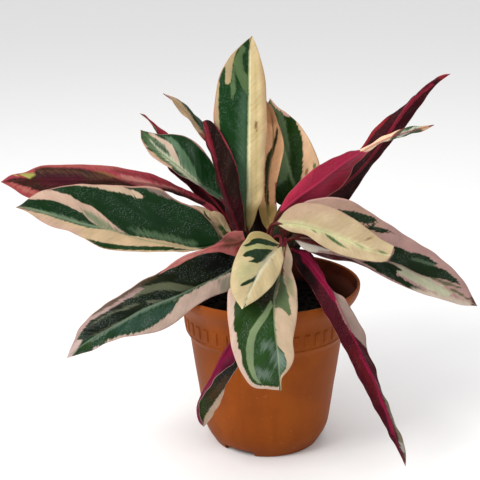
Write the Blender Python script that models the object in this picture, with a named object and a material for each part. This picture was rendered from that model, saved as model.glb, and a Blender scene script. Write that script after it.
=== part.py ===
"""A stromanthe in its nursery pot: patterned leaves on thin stalks, soil and a terracotta-coloured plastic pot.

Metres, +Z up. The origin is the middle of the pot's base, on the surface that it stands on, and the
plant's face is towards -Y. The dimensions below are in millimetres.
"""

import math

import bmesh
import bpy
import numpy as np

for old in list(bpy.data.objects):
    bpy.data.objects.remove(old, do_unlink=True)

MM = 0.001

# Pot: a 14 cm nursery pot, turned, with a stepped collar under its rim and a foot ring with drain notches.
POT_HEIGHT = 126.0
RIM_RADIUS = 71.0
BASE_RADIUS = 40.5
FOOT_INNER_RADIUS = 36.0
PAD_RADIUS = 14.0
DRAIN_COUNT = 6
DRAIN_RING_RADIUS = 25.0
DRAIN_RADIUS = 3.5
POT_SIDES = 48
NOTCH_COUNT = 3
NOTCH_FIRST_DEG = 239.5
NOTCH_WIDTH = 25.0
NOTCH_HEIGHT = 5.0
NOTCH_DEPTH = 15.0

# Soil
SOIL_TOP = 108.0
SOIL_GAP = 0.35

# Leaves and stalks
BLADE_THICKNESS = 0.7
BLADE_ROWS = 12
BLADE_ARCH = 0.07
STALK_RADIUS_FOOT = 1.7
STALK_RADIUS_TOP = 1.1
STALK_SIDES = 7
STALK_ROWS = 8
JOIN_GAP = 0.9
CROWN = (0.0, -6.0)
STALK_SPREAD = 0.5

# The leaves are drawn on a front sheet, 480 units square, seen by an eye in front of the pot and above it.
# A point is (across, down) on that sheet, and its nearness is how far it lies in front of the pot's axis.
EYE = (0.0, -828.454, 414.658)
SHEET = 1162.0
SHEET_MIDDLE = 240.0
EYE_YAW, EYE_PITCH, EYE_ROLL = (math.radians(a) for a in (1.3246, 17.1843, 0.6))


def sheet_axes():
    right = np.array([math.cos(EYE_YAW), math.sin(EYE_YAW), 0.0])
    ahead = np.array(
        [
            -math.sin(EYE_YAW) * math.cos(EYE_PITCH),
            math.cos(EYE_YAW) * math.cos(EYE_PITCH),
            -math.sin(EYE_PITCH),
        ]
    )
    down = np.cross(ahead, right)
    c, s = math.cos(EYE_ROLL), math.sin(EYE_ROLL)
    return right * c + down * s, down * c - right * s, ahead


ACROSS, DOWN, AHEAD = sheet_axes()


def at(across, down, near):
    """The point in space that the sheet shows at (across, down), near mm in front of the pot's axis."""
    ray = (
        np.multiply.outer((np.asarray(across, float) - SHEET_MIDDLE) / SHEET, ACROSS)
        + np.multiply.outer((np.asarray(down, float) - SHEET_MIDDLE) / SHEET, DOWN)
        + AHEAD
    )
    far = (-np.asarray(near, float) - EYE[1]) / ray[..., 1]
    return np.array(EYE) + ray * far[..., None]


# Each blade has three rails from its base to its tip: its left margin, its midrib and its right margin,
# as seen looking along the blade from above it. near gives the midrib's nearness at shares of the length,
# and lift how much nearer each margin is than the midrib, halfway along.
LEAVES = {
    "center_tall": dict(
        left=[(247, 232), (243, 228), (235, 210), (225, 180), (218, 150), (213.5, 118), (214, 108), (216, 92), (217.5, 83), (220, 75), (223, 68), (227, 61), (232, 54), (238, 48), (244, 42.5), (252, 36)],
        mid=[(248, 232), (245, 220), (246.5, 180), (247.5, 140), (248.5, 100), (249, 60), (249.8, 44), (252, 36)],
        right=[(249, 232), (254, 222), (258, 209), (262, 202), (264, 193), (264.5, 170), (266, 150), (267.5, 125), (266.5, 101), (266, 86), (264.5, 74), (261, 60), (257, 47), (252, 36)],
        near=[(0, 5), (0.5, -4), (1, -28)], lift=(4, 4), under=False),
    "center_maroon": dict(
        left=[(245, 231), (243.5, 210), (240, 190), (238, 172), (233, 156), (226, 141), (218, 128), (210, 120.5), (206, 120), (203, 121.5)],
        mid=[(239, 231), (229, 205), (219.5, 178), (214, 156), (209, 138), (203, 121.5)],
        right=[(233, 231), (229, 221), (224, 203), (219, 186), (214, 168), (210, 153), (205, 137), (203, 121.5)],
        near=[(0, 14), (0.4, 17), (1, 2)], lift=(-5, -14), under=True),
    "upper_left": dict(
        left=[(222, 202), (214, 196), (200, 187), (186, 178), (170, 168.5), (158, 161), (147, 150), (141.5, 140), (140.5, 130)],
        mid=[(222.5, 200.5), (210, 190), (198, 183), (186, 173), (175, 164), (165, 156), (156, 148), (148, 139), (140.5, 130)],
        right=[(223, 199), (222, 188), (217, 172), (210, 158.5), (200, 146.5), (194, 141), (188, 137.5), (182, 135), (175, 134), (163, 135), (153, 133), (140.5, 130)],
        near=[(0, -10), (0.5, -18), (1, -36)], lift=(9, -7), under=False),
    "back_left_high": dict(
        left=[(225, 192), (214, 165), (206, 142), (199, 134), (190, 122), (178, 109), (169, 97), (163, 93.5)],
        mid=[(226.5, 191), (218, 162), (208, 138), (200, 127), (189, 115), (179, 105), (163, 93.5)],
        right=[(228, 190), (223, 160), (212, 135), (203, 123), (200, 120), (190, 108.5), (180, 101), (169, 95.5), (163, 93.5)],
        near=[(0, -27), (0.5, -38), (1, -56)], lift=(9, -9), under=False),
    "back_left_red": dict(
        left=[(232, 223), (222, 198), (200, 165), (182, 147), (166, 132), (160, 127), (150, 120), (145, 115), (140, 113.5)],
        mid=[(231, 225), (215, 202), (195, 181), (178, 161), (163, 139), (150, 122), (140, 113.5)],
        right=[(230, 227), (215, 211), (192, 191), (183, 182), (175, 175), (168, 168), (162, 151), (157, 133), (153, 126), (146, 118), (140, 113.5)],
        near=[(0, -15), (0.5, -33), (1, -54)], lift=(-9, 4), under=True),
    "far_left_under": dict(
        left=[(231, 227), (215, 208), (200, 197), (191, 191.5), (185, 190), (170, 181.5), (160, 177), (150, 173.5), (130, 169.3), (110, 166), (90, 164.6), (60, 164.7), (40, 166), (25, 172), (10, 175.5), (1, 182)],
        mid=[(230, 228.5), (215, 214), (190, 197), (165, 188), (130, 182), (95, 180), (60, 180), (30, 180), (1, 182)],
        right=[(229, 230), (222, 221), (210, 210), (190, 200), (170, 192), (145, 190), (120, 194), (90, 199), (60, 201), (40, 201), (24, 196), (12, 188), (1, 182)],
        near=[(0, -6), (0.5, -14), (1, -28)], lift=(-8, 2), under=True),
    "left_broad": dict(
        left=[(216, 245), (200, 250), (185, 251.5), (150, 252), (120, 251), (103, 248.5), (95, 245), (81, 237), (68, 231), (52, 227), (40, 220.5), (27, 212), (16, 207.5)],
        mid=[(218, 243), (205, 247.5), (180, 246.5), (160, 243), (140, 239), (128, 235), (110, 230), (95, 226.5), (80, 223), (60, 217), (40, 211), (28, 208), (16, 207.5)],
        right=[(220, 241), (218, 234), (210, 221), (200, 211), (188, 204.5), (180, 201.5), (168, 194), (160, 189), (150, 186.5), (125, 186), (100, 184.6), (80, 184.3), (60, 186.5), (50, 188.5), (40, 192), (31, 197), (22, 204), (16, 207.5)],
        near=[(0, 17), (0.5, 26), (1, 40)], lift=(8, -12), under=False),
    "lower_left": dict(
        left=[(236, 261), (234, 276), (229, 290), (215, 295.5), (200, 303.5), (190, 310.5), (175, 323), (160, 331), (140, 335), (120, 338.5), (105, 343.5), (92, 351), (80, 354), (67, 358)],
        mid=[(237, 259), (232, 268), (220, 276), (205, 283), (190, 290), (175, 297), (160, 302.5), (140, 311), (125, 320), (110, 328.5), (95, 337), (80, 347), (67, 358)],
        right=[(236, 257), (224, 250.5), (218, 250), (200, 254), (180, 260), (163, 269.5), (155, 275), (147, 278), (133, 286), (120, 295.5), (112, 300), (98, 309), (88, 318.5), (78, 331), (71, 347), (67, 358)],
        near=[(0, 27), (0.5, 55), (1, 72)], lift=(10, -9), under=False),
    "front_small": dict(
        left=[(281.5, 246), (283, 252), (283, 260), (281, 270), (277, 279), (271, 287), (264, 294), (255, 301), (248, 305), (242, 309)],
        mid=[(281, 245), (275, 250), (268, 258), (262, 267), (257, 277), (252, 288), (247, 299), (242, 309)],
        right=[(280, 244), (275, 240.5), (268, 235), (262, 231.5), (255, 231.2), (250, 233), (246, 239), (241, 246), (237, 254), (233, 264), (231, 274), (230, 283), (231, 290), (234, 297), (238, 303), (242, 309)],
        near=[(0, 50), (0.5, 80), (1, 97)], lift=(2, -4), under=False),
    "front_hanging": dict(
        left=[(286.5, 242), (289, 248), (292, 256), (292.5, 263), (291.5, 270), (296, 285), (297.5, 296), (297, 315), (294.5, 332), (293, 342), (294, 357), (289, 370), (282, 378), (281, 390.5)],
        mid=[(285, 242), (282, 262), (279, 277), (274.5, 295), (274, 315), (275.5, 335), (278, 355), (279.5, 375), (281, 390.5)],
        right=[(283.5, 243), (270, 256), (250, 272), (236, 282), (229, 289), (227.5, 302), (227.3, 314), (229, 330), (232, 348), (238, 366), (247, 382), (254, 387), (268, 389), (281, 390.5)],
        near=[(0, 38), (0.25, 62), (0.46, 83), (0.8, 94), (1, 92)], lift=(2, 2), under=False),
    "front_low_folded": dict(
        left=[(234, 342), (238, 352), (238.5, 364), (229, 380), (221, 400), (214, 414), (204, 426.5)],
        mid=[(232, 341), (222, 356), (211, 378), (203, 392), (198, 404), (197, 412), (199.5, 422), (204, 426.5)],
        right=[(233.5, 343), (235.5, 350), (235, 360), (220, 374), (206, 391), (200, 403), (199, 413), (204, 426.5)],
        near=[(0, 77), (0.4, 78), (1, 62)], lift=(-5, 9), under=False),
    "right_hanging": dict(
        left=[(291.5, 252), (297, 268), (310, 286), (322, 308), (340, 340), (360, 380), (380, 418), (395, 445), (405.5, 466)],
        mid=[(293, 250), (303, 255), (318, 273), (332, 293), (344, 318), (362, 355), (377, 387), (387, 413), (396, 440), (405.5, 466)],
        right=[(295, 248), (310, 252), (319, 266), (328, 284), (334, 291), (343, 297), (355, 315), (365, 335), (367.5, 350), (373, 362), (379, 382), (387, 402), (394, 420), (402, 438), (406, 455), (405.5, 466)],
        near=[(0, 14), (0.14, 42), (0.3, 66), (0.6, 80), (1, 84)], lift=(3, -9), under=True),
    "right_broad": dict(
        left=[(295, 236), (293, 222), (302, 204), (318, 198), (340, 198), (358, 204), (380, 219), (400, 231), (420, 244.5), (440, 257), (456, 272), (469, 290), (477, 306)],
        mid=[(295, 238), (305, 238), (340, 245), (375, 257), (390, 262), (402, 266), (415, 273), (428, 279), (440, 286), (452, 292), (464, 299), (477, 306)],
        right=[(295, 240), (304, 249), (314, 254), (325, 258), (335, 260.5), (347, 261.2), (356, 263), (366, 267.6), (380, 275), (400, 285), (420, 293), (440, 299), (462, 305), (477, 306)],
        near=[(0, 24), (0.5, 38), (1, 52)], lift=(-14, 8), under=False),
    "right_cream": dict(
        left=[(277, 222), (285, 212), (297, 204), (312, 203), (330, 207), (348, 215), (367, 228.5), (383, 240), (394, 246)],
        mid=[(277.5, 223.5), (300, 225.5), (325, 232.5), (350, 242), (373, 252), (391, 255.5)],
        right=[(278, 225), (290, 231.5), (306, 235), (320, 244.5), (336, 253), (358, 259), (380, 262), (387, 261)],
        near=[(0, 30), (0.5, 52), (1, 68)], lift=(-7, 5), under=False),
    "right_magenta": dict(
        left=[(283, 213), (300, 209), (318, 203), (332, 194), (347, 180), (357, 163), (371, 150), (388, 140.5), (410, 135), (425, 130), (434, 125)],
        mid=[(281, 212), (298, 198), (318, 184), (338, 168), (356, 156), (372, 146), (390, 137.5), (410, 131.5), (434, 125)],
        right=[(279, 211), (285, 199), (297, 184), (310, 172), (330, 159), (350, 152), (359, 149.5), (375, 141.5), (390, 133.5), (403, 128), (416, 126.5), (434, 125)],
        near=[(0, 10), (0.5, 2), (1, -22)], lift=(-14, -9), under=True),
    "far_right_maroon": dict(
        left=[(283, 224), (315, 215), (335, 210), (348, 201), (360, 183), (376, 161), (392, 142), (405, 127), (411, 119), (421, 105), (430, 92), (439, 82.5), (450, 74)],
        mid=[(282, 222), (315, 203), (345, 184), (365, 165), (390, 131), (403, 112), (420, 91), (436, 79), (450, 74)],
        right=[(281, 220), (310, 192), (340, 166), (362, 147), (372, 131), (385, 119), (400, 108), (414, 97), (432, 81), (444, 74.5), (450, 74)],
        near=[(0, -10), (0.5, -30), (1, -55)], lift=(-3, -9), under=True),
    "back_right_high": dict(
        left=[(290, 208), (277, 203), (267, 188), (262.5, 165), (261, 138), (263, 115), (270, 98.5)],
        mid=[(292, 207), (294, 188), (291, 170), (286, 150), (280, 122), (270, 98.5)],
        right=[(294, 206), (308, 193), (318, 180), (320, 167), (317, 156), (309, 139), (299, 124), (288, 114), (278, 107), (270, 98.5)],
        near=[(0, -24), (0.5, -32), (1, -46)], lift=(3, 3), under=False),
    "center_cream": dict(
        left=[(270, 233), (262, 222), (258, 205), (258, 180), (260, 150), (262, 125), (266.5, 101)],
        mid=[(271.5, 234), (268, 218), (266.5, 200), (269, 172), (273, 146), (272, 120), (266.5, 101)],
        right=[(273, 235), (276, 225), (277, 208), (275.5, 195), (276.5, 184), (281, 165), (284, 146), (281, 131), (277, 120), (272, 107), (266.5, 101)],
        near=[(0, -3), (0.5, -13), (1, -30)], lift=(-2, 3), under=False),
    "left_tip_small": dict(
        left=[(229, 238), (221, 237), (215, 228), (210, 218), (209, 212.5)],
        mid=[(230.5, 236), (224, 227), (217, 218), (209, 212.5)],
        right=[(232, 234), (230, 228), (223, 216), (214, 211), (209, 212.5)],
        near=[(0, 8), (0.5, 5), (1, 2)], lift=(2, -3), under=False),
    "rear_upright": dict(
        left=[(259, 216), (235, 196), (224, 165), (224, 132), (231, 108), (241, 96)],
        mid=[(261, 215), (250, 190), (244, 160), (241, 130), (240, 110), (241, 96)],
        right=[(263, 214), (263, 190), (262, 160), (258, 130), (250, 108), (241, 96)],
        near=[(0, -36), (0.5, -60), (1, -92)], lift=(4, 4), under=False),
    "rear_right": dict(
        left=[(283, 226), (292, 205), (303, 190), (318, 178), (334, 174), (346, 176)],
        mid=[(284, 228), (300, 212), (315, 200), (330, 188), (346, 176)],
        right=[(285, 230), (305, 222), (325, 212), (338, 200), (344, 188), (346, 176)],
        near=[(0, -26), (0.5, -66), (1, -104)], lift=(-6, 6), under=False),
    "rear_left": dict(
        left=[(236, 214), (218, 200), (202, 188), (185, 178), (172, 166), (166, 152)],
        mid=[(237, 212), (222, 196), (205, 180), (188, 168), (166, 152)],
        right=[(238, 210), (232, 192), (218, 176), (200, 161), (182, 152), (166, 152)],
        near=[(0, -40), (0.5, -72), (1, -108)], lift=(6, -6), under=False),
    "rear_hanging": dict(
        left=[(263, 230), (250, 238), (242, 256), (240, 275), (246, 290), (258, 302)],
        mid=[(266, 229), (265, 240), (263, 258), (261, 280), (258, 302)],
        right=[(269, 230), (280, 240), (284, 256), (281, 276), (272, 292), (258, 302)],
        near=[(0, -40), (0.35, -88), (0.7, -118), (1, -132)], lift=(3, 3), under=False),
    "rear_left_low": dict(
        left=[(242, 234), (225, 240), (200, 242), (170, 240), (140, 232), (112, 215)],
        mid=[(243, 232), (220, 226), (195, 222), (168, 220), (140, 218), (112, 215)],
        right=[(244, 230), (231, 219), (210, 209), (180, 204), (145, 204), (112, 215)],
        near=[(0, -20), (0.5, -72), (1, -112)], lift=(6, -6), under=False),
    "rear_right_low": dict(
        left=[(286, 224), (300, 212), (330, 214), (360, 226), (388, 242), (410, 265)],
        mid=[(287, 226), (310, 224), (340, 234), (365, 245), (388, 255), (410, 265)],
        right=[(288, 228), (305, 240), (335, 250), (360, 260), (385, 270), (410, 265)],
        near=[(0, -22), (0.5, -64), (1, -100)], lift=(-6, 6), under=False),
}

# Where a stalk leaves the soil, for those that would crowd a neighbour if they followed the spread of the crown.
STALK_FOOT = {
    "upper_left": (-25.0, 8.5),
    "far_left_under": (-15.5, -2.5),
    "left_tip_small": (-11.5, -6.0),
    "rear_upright": (-5.0, 13.0),
    "rear_hanging": (3.0, 20.0),
    "rear_right": (5.0, 14.0),
    "rear_right_low": (13.0, 6.0),
    "back_right_high": (15.0, 13.0),
    "front_small": (-2.0, -16.0),
    "front_low_folded": (-6.0, -25.0),
}

# Points on the front sheet that a stalk passes, with their nearness, where it arches over a neighbour or the rim.
STALK_BY = {
    "front_small": [(265, 262, 15), (272, 240, 23), (280, 236.5, 38)],
    "front_low_folded": [(251, 268, 40), (240, 288, 62), (237, 306, 72), (234, 326, 76)],
}

LEAF_COLOURS = {
    "green": (0.03, 0.08, 0.04),
    "cream": (0.72, 0.55, 0.36),
    "maroon": (0.10, 0.01, 0.02),
    "magenta": (0.28, 0.02, 0.06),
}


def principled(name, colour, roughness, metallic=0.0):
    made = bpy.data.materials.new(name)
    made.use_nodes = True
    shader = made.node_tree.nodes["Principled BSDF"]
    shader.inputs["Base Color"].default_value = (*colour, 1.0)
    shader.inputs["Roughness"].default_value = roughness
    shader.inputs["Metallic"].default_value = metallic
    return made


def smooth(knots, values, where):
    """A smooth curve through values at knots, read at where. It leaves each knot along the line between its neighbours."""
    k, v = np.asarray(knots, float), np.asarray(values, float)
    if v.ndim == 1:
        v = v[:, None]
    slope = np.empty_like(v)
    slope[0], slope[-1] = (v[1] - v[0]) / (k[1] - k[0]), (v[-1] - v[-2]) / (k[-1] - k[-2])
    for i in range(1, len(k) - 1):
        a, b = k[i] - k[i - 1], k[i + 1] - k[i]
        slope[i] = ((v[i] - v[i - 1]) / a * b + (v[i + 1] - v[i]) / b * a) / (a + b)
    where = np.asarray(where, float)
    i = np.clip(np.searchsorted(k, where, side="right") - 1, 0, len(k) - 2)
    h = (k[i + 1] - k[i])[:, None]
    x = ((where - k[i]) / (k[i + 1] - k[i]))[:, None]
    return (
        (1 + 2 * x) * (1 - x) ** 2 * v[i]
        + x * (1 - x) ** 2 * h * slope[i]
        + x**2 * (3 - 2 * x) * v[i + 1]
        + x**2 * (x - 1) * h * slope[i + 1]
    )


def along(points, shares):
    """Points at these shares of the length of a smooth curve through points."""
    points = np.asarray(points, float)
    steps = np.sqrt(np.linalg.norm(np.diff(points, axis=0), axis=1))
    knots = np.concatenate([[0.0], np.cumsum(steps)])
    fine = np.linspace(0, knots[-1], 400)
    curve = smooth(knots, points, fine)
    run = np.concatenate([[0.0], np.cumsum(np.linalg.norm(np.diff(curve, axis=0), axis=1))])
    at_share = np.asarray(shares) * run[-1]
    return np.stack([np.interp(at_share, run, curve[:, j]) for j in range(curve.shape[1])], axis=-1)


def unit(v):
    return v / np.maximum(np.linalg.norm(v, axis=-1, keepdims=True), 1e-12)


def blade_rails(leaf, shares):
    """The left margin, the midrib and the right margin as points in space."""
    near = smooth(*zip(*leaf["near"]), shares)[:, 0]
    bow = np.sqrt(np.clip(4 * shares * (1 - shares), 0, 1))
    rails = []
    for side, lift in (("left", leaf["lift"][0]), ("mid", 0.0), ("right", leaf["lift"][1])):
        sheet = along(leaf[side], shares)
        rails.append(at(sheet[:, 0], sheet[:, 1], near + lift * bow))
    left, mid, right = rails
    # Towards its ends a blade narrows to a strip, never to a point.
    least = 0.6
    middle = len(shares) // 2
    for edge in (left, right):
        for order in (range(middle, len(shares)), range(middle, -1, -1)):
            way = unit(edge[middle] - mid[middle])
            for i in order:
                out = edge[i] - mid[i]
                wide = np.linalg.norm(out)
                if wide < least:
                    edge[i] = mid[i] + way * least
                else:
                    way = out / wide
    return left, mid, right


def blade_grid(leaf, shares, columns):
    """Points of the blade's middle surface, rows along it and columns across it from -1 to 1, and its upward normals."""
    left, mid, right = blade_rails(leaf, shares)
    tangent = unit(np.gradient(mid, axis=0))
    up = unit(np.cross(right - left, tangent))
    grid = np.empty((len(shares), len(columns), 3))
    for j, t in enumerate(columns):
        edge = left if t < 0 else right
        half = edge - mid
        rise = BLADE_ARCH * 4 * abs(t) * (1 - abs(t)) * np.linalg.norm(half, axis=1)
        grid[:, j] = mid + half * abs(t) + up * rise[:, None]
    rows = np.gradient(grid, axis=0)
    across = np.gradient(grid, axis=1)
    normal = unit(np.cross(across, rows))
    return grid, normal


def mesh_object(name, points, faces, material, smooth_shaded=True):
    """One closed mesh object from points in mm, with its faces turned outwards."""
    mesh = bpy.data.meshes.new(name)
    made = bmesh.new()
    corners = [made.verts.new(tuple(p * MM)) for p in points]
    for face in faces:
        made.faces.new([corners[i] for i in face])
    bmesh.ops.recalc_face_normals(made, faces=made.faces)
    if made.calc_volume(signed=True) < 0:
        bmesh.ops.reverse_faces(made, faces=made.faces)
    made.to_mesh(mesh)
    made.free()
    if smooth_shaded:
        mesh.shade_smooth()
        mesh.set_sharp_from_angle(angle=math.radians(50))
    mesh.materials.append(material)
    obj = bpy.data.objects.new(name, mesh)
    bpy.context.scene.collection.objects.link(obj)
    return obj


def add_blade(suffix, leaf):
    """A thin closed shell on both sides of the blade's middle surface."""
    even = np.linspace(0, 1, BLADE_ROWS)
    shares = 0.55 * even + 0.45 * (0.5 - 0.5 * np.cos(math.pi * even))
    columns = np.array([-1.0, -0.5, 0.0, 0.5, 1.0])
    grid, normal = blade_grid(leaf, shares, columns)
    rows, cols = len(shares), len(columns)
    top = (grid + normal * BLADE_THICKNESS / 2).reshape(-1, 3)
    low = (grid - normal * BLADE_THICKNESS / 2).reshape(-1, 3)
    points = np.concatenate([top, low])
    below = rows * cols
    faces = []
    for i in range(rows - 1):
        for j in range(cols - 1):
            a, b, c, d = i * cols + j, i * cols + j + 1, (i + 1) * cols + j + 1, (i + 1) * cols + j
            faces.append((a, b, c, d))
            faces.append((d + below, c + below, b + below, a + below))
    ring = (
        [(0, j) for j in range(cols)]
        + [(i, cols - 1) for i in range(1, rows)]
        + [(rows - 1, j) for j in range(cols - 2, -1, -1)]
        + [(i, 0) for i in range(rows - 2, 0, -1)]
    )
    for (i, j), (k, m) in zip(ring, ring[1:] + ring[:1]):
        a, b = i * cols + j, k * cols + m
        faces.append((b, a, a + below, b + below))
    tone = "maroon" if leaf["under"] else ("cream" if "cream" in suffix or "small" in suffix else "green")
    tone = "magenta" if suffix == "right_magenta" else tone
    material = principled("leaf_" + suffix, LEAF_COLOURS[tone], 0.45)
    return mesh_object("leaf_" + suffix, points, faces, material)


def add_stalk(suffix, leaf):
    """A round stalk from the soil to its blade's base, which it reaches along the midrib."""
    _, mid, _ = blade_rails(leaf, np.linspace(0, 1, 41))
    base, start = mid[0], unit(mid[2] - mid[0])
    end = base - start * JOIN_GAP
    spread = [c + STALK_SPREAD * (b - c) for c, b in zip(CROWN, base)]
    foot = np.array([*STALK_FOOT.get(suffix, spread), SOIL_TOP + 0.3])
    reach = np.linalg.norm(end - foot)
    by = STALK_BY.get(suffix)
    knee_low = foot + np.array([0.0, 0.0, 0.35 * reach])
    knee_high = end - start * 0.22 * reach
    x = np.linspace(0, 1, 60)[:, None]
    if by is None:
        path = (1 - x) ** 3 * foot + 3 * x * (1 - x) ** 2 * knee_low + 3 * x**2 * (1 - x) * knee_high + x**3 * end
    else:
        path = along(np.vstack([foot, *[at(*b) for b in by], end]), x[:, 0])
    path = along(path, np.linspace(0, 1, STALK_ROWS))
    tangent = unit(np.gradient(path, axis=0))
    side = unit(np.cross(tangent, np.array([0.0, 1.0, 0.0])))
    other = np.cross(side, tangent)
    points, faces = [], []
    for i in range(STALK_ROWS):
        share = i / (STALK_ROWS - 1)
        radius = STALK_RADIUS_FOOT + (STALK_RADIUS_TOP - STALK_RADIUS_FOOT) * share
        for j in range(STALK_SIDES):
            turn = 2 * math.pi * j / STALK_SIDES
            if i == 0:
                points.append(path[i] + radius * np.array([math.cos(turn), math.sin(turn), 0.0]))
            else:
                points.append(path[i] + radius * (math.cos(turn) * side[i] + math.sin(turn) * other[i]))
    points[:STALK_SIDES] = [
        path[0] + STALK_RADIUS_FOOT * (math.cos(2 * math.pi * j / STALK_SIDES) * side[0] * [1, 1, 0]
                                       + math.sin(2 * math.pi * j / STALK_SIDES) * other[0] * [1, 1, 0])
        for j in range(STALK_SIDES)
    ]
    for i in range(STALK_ROWS - 1):
        for j in range(STALK_SIDES):
            a, b = i * STALK_SIDES + j, i * STALK_SIDES + (j + 1) % STALK_SIDES
            faces.append((a, b, b + STALK_SIDES, a + STALK_SIDES))
    faces.append(tuple(range(STALK_SIDES)))
    last = (STALK_ROWS - 1) * STALK_SIDES
    faces.append(tuple(last + j for j in range(STALK_SIDES)))
    material = principled("stalk_" + suffix, (0.20, 0.015, 0.03), 0.5)
    return mesh_object("stalk_" + suffix, points, faces, material)


def turned(name, profile, sides, material):
    """A closed body of revolution from a closed (radius, height) profile. A radius of 0 is on the axis."""
    points, rings, faces = [], [], []
    for radius, height in profile:
        if radius < 1e-9:
            rings.append([len(points)])
            points.append(np.array([0.0, 0.0, height]))
            continue
        rings.append(list(range(len(points), len(points) + sides)))
        for j in range(sides):
            turn = 2 * math.pi * (j + 0.5) / sides
            points.append(np.array([radius * math.cos(turn), radius * math.sin(turn), height]))
    for first, second in zip(rings, rings[1:] + rings[:1]):
        if len(first) == 1 and len(second) == 1:
            continue
        for j in range(sides):
            k = (j + 1) % sides
            if len(first) == 1:
                faces.append((first[0], second[k], second[j]))
            elif len(second) == 1:
                faces.append((first[j], first[k], second[0]))
            else:
                faces.append((first[j], first[k], second[k], second[j]))
    return mesh_object(name, points, faces, material)


def add_pot():
    outer = [
        (BASE_RADIUS, 0.0), (41.5, 1.5), (47.8, 12.0), (50.6, 32.0), (52.0, 43.0), (54.4, 59.0), (57.2, 80.0),
        (58.0, 86.5), (61.0, 90.0), (61.8, 101.7), (62.8, 107.5), (65.3, 112.5), (69.0, 117.5),
        (RIM_RADIUS, 122.5), (RIM_RADIUS, POT_HEIGHT),
    ]
    inner = [
        (RIM_RADIUS - 2.0, POT_HEIGHT), (RIM_RADIUS - 2.6, 123.0), (67.4, 118.4), (63.8, 113.6), (61.4, 108.2),
        (60.4, 101.7), (59.7, 91.2), (56.6, 85.8), (46.2, 12.0), (40.5, 7.4), (0.0, 7.4),
    ]
    under = [(0.0, 0.0), (PAD_RADIUS, 0.0), (PAD_RADIUS + 1.0, 5.2), (34.5, 5.2), (FOOT_INNER_RADIUS, 4.4), (FOOT_INNER_RADIUS, 0.0)]
    pot = turned("pot", outer + inner + under, POT_SIDES, principled("pot", (0.38, 0.12, 0.03), 0.45))
    for i in range(NOTCH_COUNT):
        turn = math.radians(NOTCH_FIRST_DEG + 360.0 * i / NOTCH_COUNT)
        bpy.ops.mesh.primitive_cube_add(size=1.0)
        cutter = bpy.context.object
        cutter.name = f"notch_cutter_{i + 1}"
        cutter.scale = (NOTCH_DEPTH * 2 * MM, NOTCH_WIDTH * MM, NOTCH_HEIGHT * 2 * MM)
        cutter.rotation_euler = (0.0, 0.0, turn)
        middle = (BASE_RADIUS + 4.0) * MM
        cutter.location = (middle * math.cos(turn), middle * math.sin(turn), 0.0)
        cutter.hide_render = True
        cutter.display_type = "WIRE"
        cut = pot.modifiers.new(cutter.name, "BOOLEAN")
        cut.operation = "DIFFERENCE"
        cut.object = cutter
    for i in range(DRAIN_COUNT):
        turn = math.radians(NOTCH_FIRST_DEG + 360.0 * i / DRAIN_COUNT)
        middle = DRAIN_RING_RADIUS * MM
        bpy.ops.mesh.primitive_cylinder_add(
            vertices=12, radius=DRAIN_RADIUS * MM, depth=0.012,
            location=(middle * math.cos(turn), middle * math.sin(turn), 6.3 * MM),
        )
        cutter = bpy.context.object
        cutter.name = f"drain_cutter_{i + 1}"
        cutter.hide_render = True
        cutter.display_type = "WIRE"
        cut = pot.modifiers.new(cutter.name, "BOOLEAN")
        cut.operation = "DIFFERENCE"
        cut.object = cutter
    return pot


def add_soil():
    rings = 4
    low = [(0.0, 7.4 + SOIL_GAP), (40.0, 7.4 + SOIL_GAP), (46.2 - SOIL_GAP, 12.5)]
    side = [(56.6 - SOIL_GAP - 0.2, 85.6), (59.7 - SOIL_GAP - 0.2, 91.5), (60.4 - SOIL_GAP - 0.1, 101.7), (60.9 - SOIL_GAP, SOIL_TOP - 0.8)]
    top = [(58.0 * i / rings, SOIL_TOP) for i in range(rings, -1, -1)]
    return turned("soil", low + side + top, POT_SIDES, principled("soil", (0.008, 0.006, 0.005), 0.95))


def main():
    add_pot()
    add_soil()
    for suffix, leaf in LEAVES.items():
        add_blade(suffix, leaf)
        add_stalk(suffix, leaf)


main()
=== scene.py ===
import math
import random

import bmesh
import bpy
import numpy as np
from mathutils import Matrix, Vector, noise


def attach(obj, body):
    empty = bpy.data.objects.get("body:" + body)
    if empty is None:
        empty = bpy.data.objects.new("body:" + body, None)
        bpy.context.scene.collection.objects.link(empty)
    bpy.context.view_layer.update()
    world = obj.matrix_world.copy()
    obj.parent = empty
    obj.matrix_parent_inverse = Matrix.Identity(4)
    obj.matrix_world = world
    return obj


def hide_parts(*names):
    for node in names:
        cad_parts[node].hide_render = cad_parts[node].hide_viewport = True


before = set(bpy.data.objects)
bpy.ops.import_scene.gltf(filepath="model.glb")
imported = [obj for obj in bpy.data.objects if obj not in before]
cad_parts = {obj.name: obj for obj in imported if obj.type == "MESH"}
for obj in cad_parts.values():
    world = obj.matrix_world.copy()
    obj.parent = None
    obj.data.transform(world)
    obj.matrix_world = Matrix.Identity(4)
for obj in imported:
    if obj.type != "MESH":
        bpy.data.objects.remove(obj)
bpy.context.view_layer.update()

# The looks of the potted stromanthe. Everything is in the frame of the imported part: metres, +Z up, the plant's
# face towards -Y. Lengths in the tables below are in millimetres.

MM = 0.001

# ---------------------------------------------------------------------------------------------------------------
# The front sheet, the same as in the part: 480 units square, seen by an eye in front of the pot and above it.
# A point on it is (across, down), and its nearness is how far it lies in front of the pot's axis.
EYE = np.array((0.0, -828.454, 414.658))
SHEET = 1162.0
SHEET_MIDDLE = 240.0
EYE_YAW, EYE_PITCH, EYE_ROLL = (math.radians(a) for a in (1.3246, 17.1843, 0.6))
BLADE_ARCH = 0.07
CROWN = (0.0, -6.0)
STALK_SPREAD = 0.5
SOIL_TOP = 108.0


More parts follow.
